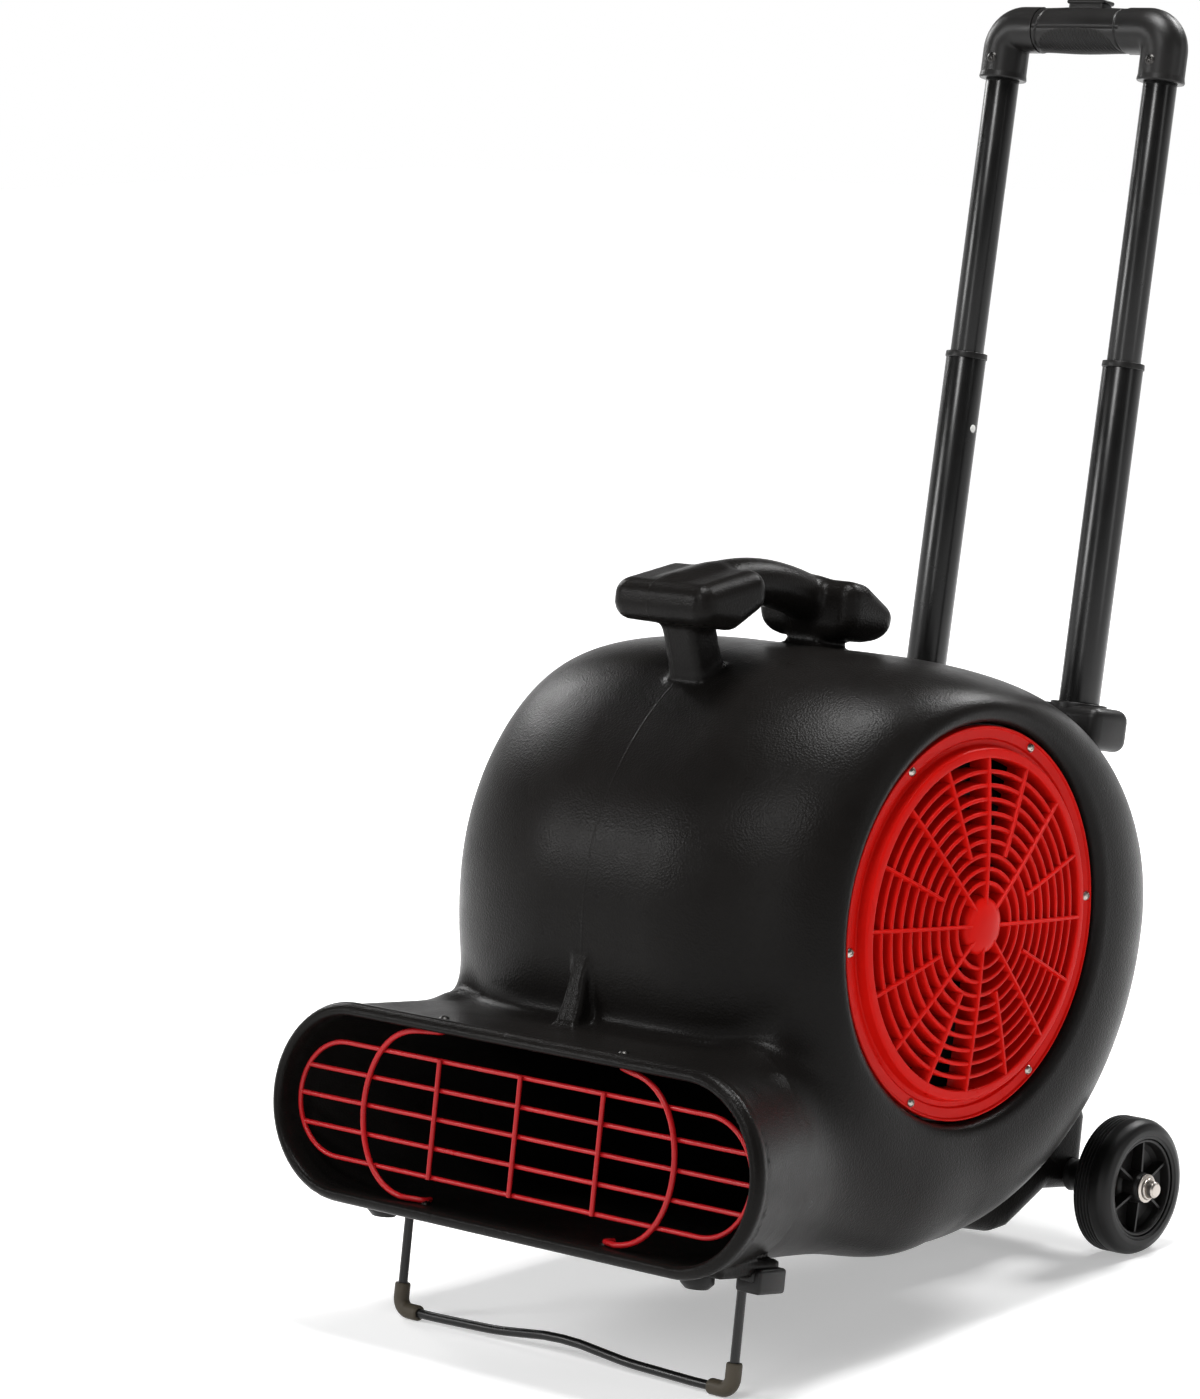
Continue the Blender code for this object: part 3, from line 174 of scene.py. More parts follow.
def rounded(corners, radius, steps=4, closed=False):
    """A line through corners in two or three dimensions, with an arc at each corner."""
    points = [Vector(c) for c in corners]
    count = len(points)
    radii = radius if isinstance(radius, list) else [radius] * count
    made = []
    for i, point in enumerate(points):
        back = points[i - 1] - point
        ahead = points[(i + 1) % count] - point
        half = back.angle(ahead, 0) / 2
        if radii[i] <= 0 or half > STRAIGHT or not closed and i in (0, count - 1):
            made.append(point)
            continue
        reach = min(radii[i] / tan(half), 0.49 * back.length, 0.49 * ahead.length)
        size = reach * tan(half)
        back.normalize()
        ahead.normalize()
        start = point + back * reach
        end = point + ahead * reach
        centre = point + (back + ahead).normalized() * (size / sin(half))
        sweep = pi - 2 * half
        for k in range(steps + 1):
            share = k / steps
            made.append(centre + ((start - centre) * sin((1 - share) * sweep)
                                  + (end - centre) * sin(share * sweep)) / sin(sweep))
    return made


def circle(radius, count):
    """Points round a circle in a plane."""
    angles = [2 * pi * k / count for k in range(count)]
    return [(radius * cos(a), radius * sin(a)) for a in angles]


def join_rings(bm, rings, closed=False):
    """Faces between each ring of points and the next, and over both ends unless the rings close."""
    for a, b in zip(rings, rings[1:] + rings[:1] if closed else rings[1:]):
        for k in range(len(a)):
            m = (k + 1) % len(a)
            bm.faces.new((a[k], a[m], b[m], b[k]))
    if not closed:
        bm.faces.new(rings[0])
        bm.faces.new(rings[-1][::-1])


def add_turned(bm, profile, segments, place=Matrix(), ring=False):
    """A surface of revolution about local Z, from a profile of (radius, height)."""
    columns = [[bm.verts.new(place @ Vector((p[0] * c, p[0] * s, p[1]))) for p in profile]
               for c, s in circle(1, segments)]
    count = len(profile)
    for here, there in zip(columns, columns[1:] + columns[:1]):
        for i in range(count if ring else count - 1):
            j = (i + 1) % count
            bm.faces.new((here[i], there[i], there[j], here[j]))


def add_tube(bm, path, radius, sides=16, closed=False, section=None):
    """A tube along a path; section gives its own outline in place of a circle."""
    points = [Vector(p) for p in path]
    count = len(points)
    outline = section or circle(radius, sides)
    rings = []
    normal = None
    for i, point in enumerate(points):
        before = points[i - 1] if closed or i else point
        after = points[(i + 1) % count] if closed or i < count - 1 else point
        tangent = (after - before).normalized()
        if normal is None:
            along_y = abs(tangent.y) > 0.9
            normal = tangent.orthogonal() if along_y else tangent.cross(Vector((0, 1, 0)))
        normal = (normal - tangent * normal.dot(tangent)).normalized()
        side = tangent.cross(normal)
        stretch = 1 / max(cos((after - point).angle(point - before, 0) / 2), 0.5)
        bend = (after - point) - (point - before)
        bend = bend - tangent * bend.dot(tangent)
        bend = bend.normalized() if bend.length > 1e-9 else Vector()
        ring = []
        for u, v in outline:
            offset = normal * u + side * v
            offset = offset + bend * offset.dot(bend) * (stretch - 1)
            ring.append(bm.verts.new(point + offset))
        rings.append(ring)
    join_rings(bm, rings, closed)


def add_box(bm, size, radius, place=Matrix(), segments=4):
    """A box with rounded edges."""
    new = bmesh.ops.create_cube(bm, size=1.0)["verts"]
    bmesh.ops.scale(bm, vec=size, verts=new)
    edges = list({e for v in new for e in v.link_edges})
    made = bmesh.ops.bevel(bm, geom=edges, offset=radius, segments=segments, profile=0.5, affect="EDGES")
    verts = {v for f in made["faces"] for v in f.verts} | {v for v in new if v.is_valid}
    bmesh.ops.transform(bm, matrix=place, verts=list(verts))


def add_screw(bm, place, radius=0.0038, height=0.0026):
    """A domed screw head with a cross recess."""
    steps = 10
    columns = []
    for c, s in circle(1, 40):
        column = []
        for i in range(1, steps + 1):
            r = radius * i / steps
            z = height * (1 - (r / radius) ** 2.6)
            if r * min(abs(c), abs(s)) < 0.13 * radius and r < 0.58 * radius:
                z -= 0.35 * height
            column.append((r * c, r * s, z))
        column.append((0.96 * radius * c, 0.96 * radius * s, -0.0006))
        columns.append([bm.verts.new(place @ Vector(p)) for p in column])
    centre = bm.verts.new(place @ Vector((0, 0, 0.65 * height)))
    for here, there in zip(columns, columns[1:] + columns[:1]):
        bm.faces.new((centre, here[0], there[0]))
        for i in range(steps):
            bm.faces.new((here[i], here[i + 1], there[i + 1], there[i]))


def mesh_of(bm, name):
    mesh = bpy.data.meshes.new(name)
    bm.to_mesh(mesh)
    bm.free()
    return mesh


def linked(name, data):
    made = bpy.data.objects.new(name, data)
    bpy.context.scene.collection.objects.link(made)
    return made


def evaluated(source):
    """The mesh that an object's modifiers or text come to; the object itself goes."""
    view = bpy.context.evaluated_depsgraph_get()
    mesh = bpy.data.meshes.new_from_object(source.evaluated_get(view))
    bpy.data.objects.remove(source)
    mesh.materials.clear()
    return mesh


def carved(bm, tool):
    """A solid with another taken out of it."""
    for source in (bm, tool):
        bmesh.ops.recalc_face_normals(source, faces=source.faces)
    solid, cutter = [linked("carving", mesh_of(source, "carving")) for source in (bm, tool)]
    cut = solid.modifiers.new("cut", "BOOLEAN")
    cut.operation = "DIFFERENCE"
    cut.solver = "EXACT"
    cut.object = cutter
    made = bmesh.new()
    made.from_mesh(evaluated(solid))
    bpy.data.objects.remove(cutter)
    return made


def piece(name, bm, place, body, finish, nodes=(), sharp=40):
    """Turns a mesh into an object that rides on a body and stands for nodes."""
    bmesh.ops.remove_doubles(bm, verts=bm.verts, dist=1e-6)
    bmesh.ops.holes_fill(bm, edges=[edge for edge in bm.edges if edge.is_boundary])
    bmesh.ops.recalc_face_normals(bm, faces=bm.faces)
    bm.transform(place)
    limit = radians(sharp)
    for face in bm.faces:
        face.smooth = True
    for edge in bm.edges:
        edge.smooth = len(edge.link_faces) == 2 and edge.calc_face_angle() < limit
    show(name, mesh_of(bm, name), body, finish, nodes)


def turned_piece(name, profile, segments, place, body, finish, nodes, ring=True, sharp=40):
    bm = bmesh.new()
    add_turned(bm, profile, segments, ring=ring)
    piece(name, bm, place, body, finish, nodes, sharp)


def show(name, mesh, body, finish, nodes=()):
    """Links a mesh as an object on a body, with the material of its finish, and hides the nodes it stands for."""
    made = linked(name, mesh)
    look, slot = finish
    mesh.materials.append(look)
    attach(made, body)
    if nodes:
        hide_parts(*nodes)


# Materials

def map_range(tree, source, *limits):
    """A value spread from one range to another: start, end, low and high."""
    made = tree.nodes.new("ShaderNodeMapRange")
    tree.links.new(source, made.inputs[0])
    for socket, value in zip(list(made.inputs)[1:5], limits):
        socket.default_value = value
    return made.outputs[0]


class Look:
    """A material under construction: a Principled shader and the nodes that feed it."""

    def __init__(self, name, **values):
        self.made = bpy.data.materials.new(name)
        self.made.use_nodes = True
        self.tree = self.made.node_tree
        self.shader = self.tree.nodes["Principled BSDF"]
        for socket, value in values.items():
            socket = socket.replace("_", " ").title().replace("Ior", "IOR")
            self.shader.inputs[socket].default_value = value
        self.place = self.node("TexCoord").outputs["Object"]

    def node(self, kind, links=(), **values):
        made = self.tree.nodes.new("ShaderNode" + kind)
        for name, value in values.items():
            if name in made.bl_rna.properties and name not in made.inputs:
                setattr(made, name, value)
            else:
                made.inputs[name].default_value = value
        for name, source in dict(links).items():
            self.tree.links.new(source, made.inputs[name])
        return made

    def feed(self, source, socket):
        self.tree.links.new(source, self.shader.inputs[socket])

    def noise(self, scale, detail):
        made = self.node("TexNoise", {"Vector": self.place}, Scale=scale, Detail=detail, Roughness=0.6)
        return made.outputs["Fac"]

    def math(self, operation, a, b):
        made = self.node("Math", operation=operation)
        for socket, value in zip(made.inputs, (a, b)):
            if isinstance(value, (int, float)):
                socket.default_value = value
            else:
                self.tree.links.new(value, socket)
        return made.outputs[0]

    def spread(self, source, low, high, start=0.3, end=0.7):
        return map_range(self.tree, source, start, end, low, high)

    def colours(self, source, first, second):
        made = self.node("ValToRGB", {"Fac": source})
        low, high = made.color_ramp.elements
        low.position = 0.35
        high.position = 0.65
        low.color = (*first, 1)
        high.color = (*second, 1)
        self.feed(made.outputs["Color"], "Base Color")

    def rough(self, source, low, high):
        self.feed(self.spread(source, low, high), "Roughness")

    def bump(self, *layers):
        """Layers of (height, strength, distance), finest last."""
        normal = None
        for height, strength, distance in layers:
            made = self.node("Bump", {"Height": height}, Strength=strength, Distance=distance)
            if normal:
                self.tree.links.new(normal, made.inputs["Normal"])
            normal = made.outputs["Normal"]
        self.feed(normal, "Normal")


def plain_look(name, first, second, rough, grain, depth, shine=0.5, metal=0.0, broad=9.0, slot=None):
    """A finish with broad variation of colour and roughness and a fine grain."""
    look = Look(name, specular_ior_level=shine, metallic=metal)
    look.colours(look.noise(broad, 4.0), first, second)
    look.rough(look.noise(3.1 * broad, 5.0), *rough)
    look.bump((look.noise(grain / 7, 2.0), 0.25, 3 * depth), (look.noise(grain, 2.0), 0.6, depth))
    return look.made, slot or name


def housing_look():
    """Rotomoulded plastic: a pebbled grain, soft mottling and the mould's parting line."""
    look = Look("housing_plastic", ior=1.48, specular_ior_level=0.075)
    look.colours(look.noise(6.0, 5.0), (0.005, 0.0045, 0.0042), (0.0075, 0.0067, 0.0062))
    look.rough(look.noise(40.0, 6.0), 0.27, 0.35)
    pebbles = look.node("TexVoronoi", {"Vector": look.place}, Scale=640.0).outputs["Distance"]
    across = look.node("SeparateXYZ", {0: look.place}).outputs["X"]
    off = look.math("ABSOLUTE", look.math("SUBTRACT", across, SEAM_X), 0.0)
    line = look.spread(off, 1.0, 0.0, 0.0004, 0.0011)
    look.bump((line, 0.35, 0.0003), (look.noise(40.0, 2.0), 0.1, 0.001),
              (pebbles, 0.45, 0.0003), (look.noise(1700.0, 2.0), 0.45, 0.00014))
    return look.made, "housing_plastic"


HOUSING = housing_look()
RED = plain_look("red_plastic", (0.54, 0.006, 0.0036), (0.62, 0.008, 0.005), (0.26, 0.34), 900, 0.00003,
                 shine=0.05)
RED_WIRE = plain_look("red_wire", (0.34, 0.005, 0.008), (0.42, 0.008, 0.011), (0.24, 0.36), 700, 0.0001,
                      shine=0.25)
TUBE = plain_look("tube_black", (0.0038, 0.0038, 0.0038), (0.0055, 0.0053, 0.0053), (0.22, 0.28), 1300,
                  0.000005, shine=0.36, broad=14.0)
MOULDED = plain_look("black_plastic", (0.0055, 0.0052, 0.005), (0.0085, 0.008, 0.0078), (0.32, 0.44), 1100,
                     0.00008, shine=0.22)
RUBBER = plain_look("tyre_rubber", (0.0045, 0.0045, 0.0045), (0.0075, 0.0073, 0.0071), (0.36, 0.46), 800,
                    0.00008, shine=0.22)
FOOT = RUBBER[0], "black_plastic"
SLEEVE = plain_look("sleeve_rubber", (0.046, 0.038, 0.026), (0.07, 0.058, 0.041), (0.5, 0.66), 700, 0.0001,
                    shine=0.3)
STEEL = plain_look("bright_steel", (0.38, 0.345, 0.315), (0.5, 0.46, 0.42), (0.24, 0.38), 900, 0.00004,
                   metal=1.0)
# Bright steel copied darker for the small screws: painted shade, standing in for the dark surroundings these
# screws reflect
SHADED_STEEL = plain_look("shaded_steel", (0.03, 0.029, 0.028), (0.05, 0.048, 0.046), (0.28, 0.4), 900, 0.00004,
                        metal=1.0, slot="bright_steel")
ELBOW_SCREW = SHADED_STEEL[0], "black_plastic"
STAND = plain_look("stand_steel", (0.005, 0.005, 0.005), (0.008, 0.0078, 0.0078), (0.26, 0.36), 900,
                   0.00004, shine=0.32)
FAN = plain_look("fan_metal", (0.03, 0.03, 0.031), (0.045, 0.045, 0.046), (0.4, 0.55), 600, 0.00008,
                 metal=0.9)
MOTOR = plain_look("motor_metal", (0.034, 0.034, 0.035), (0.05, 0.05, 0.051), (0.45, 0.6), 500, 0.00015,
                   metal=0.8)
WHITE = plain_look("white_plastic", (0.74, 0.74, 0.71), (0.82, 0.82, 0.79), (0.3, 0.4), 900, 0.00004)


# Housing, as one smooth distance field in the body's own frame

def around(values, phi):
    """A value round the drum, eased between the top, the rear, the bottom and the front."""
    quarter = (phi / (pi / 2)) % 4
    first = quarter.astype(int) % 4
    share = np.sin(pi / 2 * (quarter - np.floor(quarter))) ** 2
    return values[first] + (values[(first + 1) % 4] - values[first]) * share


def smooth_min(a, b, size):
    near = np.maximum(size - np.abs(a - b), 0) / size
    return np.minimum(a, b) - near * near * (size / 4)


def smooth_max(a, b, size):
    return -smooth_min(-a, -b, size)


def drum_distance(p, inset=0.0, half_width=DRUM_HALF_X):
    across = np.abs(p[0])
    back = p[1] - DRUM_Y
    up = p[2] - DRUM_Z
    radius = np.hypot(back, up)
    phi = np.arctan2(back, up) % (2 * pi)
    crest = RIM_R + around(RIM_WIDTH, phi) - inset
    crown = SCROLL_CROWN * np.exp(-((phi - SCROLL_CROWN_AT) / 0.35) ** 2)
    height = around(SCROLL_R, phi) + crown - inset - crest
    start = around(SHOULDER_X, phi)
    width = half_width - start
    power = around(SHOULDER_POWER, phi)
    u = np.maximum(across - start, 0) / width + 1e-6
    v = np.maximum(radius - crest, 0) / height + 1e-6
    total = (u ** power + v ** power) ** (1 / power)
    slope = np.hypot((u / total) ** (power - 1) / width, (v / total) ** (power - 1) / height)
    return np.maximum(total - 1, -0.9) / slope


def shelf_top(y):
    return MOUTH_TOP_Z + SHELF_SLOPE * (y - MOUTH_Y)


def duct_top(y):
    shelf = shelf_top(np.maximum(y, MOUTH_Y))
    end = shelf_top(SHELF_END_Y)
    fall = end - (end - DUCT_END_TOP_Z) / (DRUM_Y - SHELF_END_Y) * (y - SHELF_END_Y)
    return np.minimum(shelf, fall)


def duct_outline(p):
    """Distance from the duct's slot-shaped outline, across the flow."""
    share = np.clip((p[1] - MOUTH_Y) / (DRUM_Y - MOUTH_Y), 0, 1)
    run = DRUM_Y - MOUTH_Y - MOUTH_RIM
    ease = np.sin(pi / 2 * np.clip((p[1] - MOUTH_Y - MOUTH_RIM) / run, 0, 1))
    half_width = MOUTH_HALF_X + (DUCT_END_HALF_X - MOUTH_HALF_X) * ease
    bottom = MOUTH_BOTTOM_Z + (DUCT_END_BOTTOM_Z - MOUTH_BOTTOM_Z) * share
    top = duct_top(p[1])
    radius = (top - bottom) / 2
    beyond = np.maximum(np.abs(p[0]) - half_width + radius, 0)
    return np.hypot(beyond, p[2] - (top + bottom) / 2) - radius


def box_distance(p, low, high, radius):
    middle = [(a + b) / 2 for a, b in zip(low, high)]
    half = [(b - a) / 2 - radius for a, b in zip(low, high)]
    q = [np.abs(c - m) - h for c, m, h in zip(p, middle, half)]
    outside = np.sqrt(sum(np.maximum(c, 0) ** 2 for c in q))
    return outside + np.minimum(np.maximum(np.maximum(q[0], q[1]), q[2]), 0) - radius


def outline_distance(u, v, corners):
    """Distance from a closed outline in a plane, negative inside it."""
    nearest = np.full(u.shape, 1e9)
    inside = np.zeros(u.shape, bool)
    for (u0, v0), (u1, v1) in zip(corners, corners[1:] + corners[:1]):
        du = u1 - u0
        dv = v1 - v0
        share = np.clip(((u - u0) * du + (v - v0) * dv) / (du * du + dv * dv), 0, 1)
        nearest = np.minimum(nearest, (u - u0 - du * share) ** 2 + (v - v0 - dv * share) ** 2)
        if abs(dv) > 1e-12:
            inside ^= ((v0 > v) != (v1 > v)) & (u < du * (v - v0) / dv + u0)
    return np.where(inside, -1.0, 1.0) * np.sqrt(nearest)


def chain_distance(p, points, radius):
    """Distance from a chain of round bars."""
    nearest = np.full(p[0].shape, 1e9)
    for a, b in zip(points, points[1:]):
        step = [q - s for s, q in zip(a, b)]
        length = sum(s * s for s in step)
        share = np.clip(sum((c - s) * d for c, s, d in zip(p, a, step)) / length, 0, 1)
        gap = np.sqrt(sum((c - s - d * share) ** 2 for c, s, d in zip(p, a, step)))
        nearest = np.minimum(nearest, gap)
    return nearest - radius


FAR = 0.2


def inside_of(p, space, distance):
    """A distance that is worked out only in a box, with a large value elsewhere."""
    pick = np.ones(p[0].shape, bool)
    for c, a, b in zip(p, *space):
        pick &= (c > a) & (c < b)
    made = np.full(p[0].shape, FAR)
    if pick.any():
        made[pick] = distance([c[pick] for c in p])
    return made


# Carry handle
HANDLE_FRONT_Y = -0.412
HANDLE_REAR_Y = -0.253
ARCH_STEPS = 16
ARCH_RISE = 0.0145
ARCH_R = 0.0165
ARCH_WIDEN = 0.92
BLOCK_Z = 0.397
BLOCK_HALF_X = 0.044
BLOCK_ROUND = 0.0125
FRONT_BLOCK = [(-0.424, 0.3905), (-0.424, 0.395), (-0.38, 0.4068), (-0.3795, 0.402), (-0.3995, 0.3895)]
REAR_BLOCK = [(-0.268, 0.3885), (-0.269, 0.4055), (-0.26, 0.4045), (-0.2385, 0.393), (-0.238, 0.389),
              (-0.244, 0.388)]
POST_HALF = (0.0145, 0.0135)
POST_TOP_Z = 0.3765
POST_FLARE_Z = 0.36
POST_BOTTOM_Z = 0.25
POSTS = ((-0.3995, 0.43), (-0.262, -0.1))
HANDLE_SPACE = (-0.1, -0.5, 0.22), (0.1, -0.18, 0.5)


def soft_block(p, core):
    """A core outline in the YZ plane, carried across X and grown all round."""
    u = outline_distance(p[1], p[2], core)
    v = np.abs(p[0]) - BLOCK_HALF_X + BLOCK_ROUND
    return np.hypot(np.maximum(u, 0), np.maximum(v, 0)) + np.minimum(np.maximum(u, v), 0) - BLOCK_ROUND


def handle_posts(p):
    """Two square posts, each with a place and a lean, that widen downwards."""
    made = np.full(p[0].shape, FAR)
    flare = 1 + np.maximum(POST_FLARE_Z - p[2], 0)
    low = (-POST_HALF[0], -POST_HALF[1], POST_BOTTOM_Z)
    for middle, lean in POSTS:
        y = p[1] - middle - lean * (POST_TOP_Z - p[2])
        post = [p[0] / flare, y / flare, p[2]]
        made = np.minimum(made, box_distance(post, low, (*POST_HALF, BLOCK_Z), 0.0045))
    return made


def carry_handle(p):
    """Two cross blocks on square posts, with an arched grip between them."""
    shares = [i / ARCH_STEPS for i in range(ARCH_STEPS + 1)]
    arch = [(0, HANDLE_FRONT_Y + (HANDLE_REAR_Y - HANDLE_FRONT_Y) * share,
             BLOCK_Z + ARCH_RISE * sin(pi * share)) for share in shares]
    made = chain_distance([p[0] * ARCH_WIDEN, p[1], p[2]], arch, ARCH_R)
    made = smooth_min(made, soft_block(p, FRONT_BLOCK), 0.006)
    rear = soft_block(p, REAR_BLOCK)
    rear = smooth_max(rear, 0.75 * (np.abs(p[0]) - 0.0335) - 0.66 * (p[2] - 0.377), 0.008)
    made = smooth_min(made, rear, 0.007)
    return smooth_min(made, handle_posts(p), 0.006)


# Outlines in the YZ plane, and boxes as (low, high)
PEDESTAL = [(-0.225, -0.0372), (-0.11, -0.0382), (-0.085, -0.0412), (-0.068, -0.0382), (-0.026, -0.012),
            (0.01, -0.012), (0.015, -0.007), (0.015, 0.045), (-0.005, 0.066), (-0.12, 0.11), (-0.225, 0.11)]
PEDESTAL_HALF_X = 0.08
PEDESTAL_SPACE = (-0.13, -0.29, -0.1), (0.13, 0.08, 0.18)
GUSSET = [(-0.4845, 0.096), (-0.4775, 0.106), (-0.4735, 0.118), (-0.471, 0.132), (-0.468, 0.147),
          (-0.464, 0.156), (-0.44, 0.156), (-0.436, 0.09)]
GUSSET_HALF_X = 0.0155
GUSSET_TAPER = 0.06
GUSSET_SPACE = (-0.05, -0.53, 0.05), (0.04, -0.4, 0.2)
RIM_BEAD_R = 0.0064
RIM_BEAD_INSET = 0.004
DUCT_FADE = 0.06
FOOT_PAD = (0.131, -0.505, -0.0392), (0.172, -0.444, -0.028)
TUBE_SHELF = (-0.046, -0.1, -0.031), (0.046, -0.0223, -0.0005)
TUBE_RECESS = (-0.1, -0.0223, -0.265), (0.1, 0.0977, 0.05)


def line_place(p):
    """Points of the body in the frame of the handle's line."""
    back = np.array(LINE_IN_BODY.inverted())
    return [sum(back[i, k] * p[k] for k in range(3)) + back[i, 3] for i in range(3)]


def pedestal(p):
    return smooth_max(outline_distance(p[1], p[2], PEDESTAL), np.abs(p[0]) - PEDESTAL_HALF_X, 0.014)


def gusset(p):
    beside = np.abs(p[0] - SEAM_X) - GUSSET_HALF_X + GUSSET_TAPER * p[2]
    return smooth_max(outline_distance(p[1], p[2], GUSSET), beside, 0.004)


def housing_distance(p):
    """The whole moulding: outer forms joined, then the seats, the hollow and the bores cut away."""
    across = np.abs(p[0])
    radius = np.hypot(p[1] - DRUM_Y, p[2] - DRUM_Z)
    q = line_place(p)
    outline = duct_outline(p)
    duct = smooth_max(outline, MOUTH_Y - p[1], 0.011)
    rim = np.hypot(outline + RIM_BEAD_INSET, p[1] - MOUTH_Y - RIM_BEAD_R) - RIM_BEAD_R
    duct = smooth_min(smooth_max(duct, p[1] - DRUM_Y, DUCT_FADE), rim, 0.0025)
    beside = np.clip((across - 0.105) / 0.06, 0, 1)
    made = smooth_min(drum_distance(p), duct, 0.016 + 0.034 * beside * beside * (3 - 2 * beside))
    for space, form, size in ((PEDESTAL_SPACE, pedestal, 0.022), (HANDLE_SPACE, handle_posts, 0.009),
                              (HANDLE_SPACE, carry_handle, 0.003), (GUSSET_SPACE, gusset, 0.004)):
        made = smooth_min(made, inside_of(p, space, form), size)
    made = smooth_min(made, box_distance([across, p[1], p[2]], *FOOT_PAD, 0.003), 0.004)
    made = smooth_min(made, box_distance(q, *TUBE_SHELF, 0.005), 0.014)
    made = smooth_max(made, -np.maximum(SEAT_X - across, radius - RIM_R), 0.01)
    recess = box_distance(q, *TUBE_RECESS, 0.006)
    made = smooth_max(made, -recess, 0.006)
    inner = smooth_max(outline, p[1] - DRUM_Y, DUCT_FADE) + WALL
    inner = smooth_min(drum_distance(p, WALL, SEAT_X - 0.005), inner, 0.012)
    inner = smooth_max(inner, 0.006 - recess, 0.004)
    made = smooth_max(made, -inner, 0.005)
    made = smooth_max(made, INLET_R - radius - FAR * (across < INLET_START_X), 0.003)
    bore = np.hypot(np.abs(q[0]) - TUBE_X, q[1]) - OUTER_TUBE_R - FIT_GAP
    return smooth_max(made, -np.maximum(bore, -OUTER_TUBE_LENGTH - q[2]), 0.002)


def surface_net(values, low, pitch):
    """Corner points and four-sided faces of the surface where a field on a grid is zero."""
    shape = [n - 1 for n in values.shape]
    count = np.zeros(shape, np.int8)
    place = np.zeros((3, *shape), np.float32)
    unit = np.eye(3, dtype=int)

    def corner(start):
        return values[tuple(slice(i, i + n) for i, n in zip(start, shape))]

    for axis in range(3):
        u, v = [a for a in range(3) if a != axis]
        for i in (0, 1):
            for j in (0, 1):
                start = i * unit[u] + j * unit[v]
                a = corner(start)
                b = corner(start + unit[axis])
                cut = (a < 0) != (b < 0)
                share = np.where(cut, a / np.where(cut, a - b, 1), 0)
                count += cut
                place[axis] += share
                place[u] += cut * i
                place[v] += cut * j
    used = count > 0
    number = np.full(shape, -1, np.int64)
    number[used] = np.arange(used.sum())
    cell = np.argwhere(used).astype(np.float32)
    points = np.array(low) + pitch * (cell + (place[:, used] / count[used]).T)
    faces = []
    for axis in range(3):
        u, v = [a for a in range(3) if a != axis]
        start = [slice(1, n - 1) for n in values.shape]
        start[axis] = slice(0, values.shape[axis] - 1)
        end = list(start)
        end[axis] = slice(1, values.shape[axis])
        a = values[tuple(start)]
        b = values[tuple(end)]
        at = np.argwhere((a < 0) != (b < 0))
        loop = np.stack([number[tuple((at + i * unit[u] + j * unit[v]).T)]
                         for i, j in ((0, 0), (1, 0), (1, 1), (0, 1))], 1)
        flip = (a < 0)[tuple(at.T)] == (axis == 1)
        loop[flip] = loop[flip][:, ::-1]
        faces.append(loop)
    return points, np.concatenate(faces)


def gradient(points, step=0.0003):
    at = housing_distance(list(points.T))
    slopes = [(housing_distance(list((points + step * way).T)) - at) / step for way in np.eye(3)]
    return at, np.stack(slopes, 1)


def settle(points, rounds, reach):
    """Moves points onto the surface along the field's slope."""
    for _ in range(rounds):
        at, slope = gradient(points)
        size = np.maximum((slope ** 2).sum(1), 0.05)
        step = slope * (at / size)[:, None]
        length = np.maximum(np.linalg.norm(step, axis=1), 1e-12)
        points = points - step * np.minimum(1, reach / length)[:, None]
    return points


def mesh_points(mesh):
    flat = np.zeros(3 * len(mesh.vertices), np.float32)
    mesh.vertices.foreach_get("co", flat)
    return flat.reshape(-1, 3).astype(float)


FINE_PITCH = 0.0034
FINE_TRIANGLES = 150000
GRID_LOW = (-0.232, -0.55, -0.062)
GRID_HIGH = (0.232, 0.036, 0.44)


def make_housing():
    pitch = FINE_PITCH
    axes = [np.arange(a, b + pitch, pitch) for a, b in zip(GRID_LOW, GRID_HIGH)]
    grid = np.stack(np.meshgrid(*axes, indexing="ij"), 0)
    values = np.stack([housing_distance([c.ravel() for c in layer]).reshape(layer[0].shape)
                       for layer in np.moveaxis(grid, 1, 0)], 0)
    points, faces = surface_net(values, GRID_LOW, pitch)
    points = settle(points, 3, 0.5 * pitch)
    mesh = bpy.data.meshes.new("blower_housing")
    mesh.from_pydata(points.tolist(), [], faces.tolist())
    mesh.validate()
    fine = linked("blower_housing_fine", mesh)
    fine.modifiers.new("reduce", "DECIMATE").ratio = min(1.0, FINE_TRIANGLES / (2 * len(faces)))
    mesh = evaluated(fine)
    mesh.name = "blower_housing"
    points = settle(mesh_points(mesh), 2, 0.4 * pitch)
    mesh.vertices.foreach_set("co", points.astype(np.float32).ravel())
    _, slope = gradient(mesh_points(mesh))
    normals = slope / np.maximum(np.linalg.norm(slope, axis=1), 1e-9)[:, None]
    mesh.polygons.foreach_set("use_smooth", [True] * len(mesh.polygons))
    mesh.transform(BODY)
    normals = normals @ np.array(BODY.to_3x3()).T
    mesh.normals_split_custom_set_from_vertices(normals.tolist())
    mesh.update()
    show("blower_housing", mesh, "base", HOUSING, ["housing"])


# Inlet grilles

def grille_top(radius):
    return GRILLE_EDGE + GRILLE_RISE * (1 - (radius / GRILLE_R) ** 2)


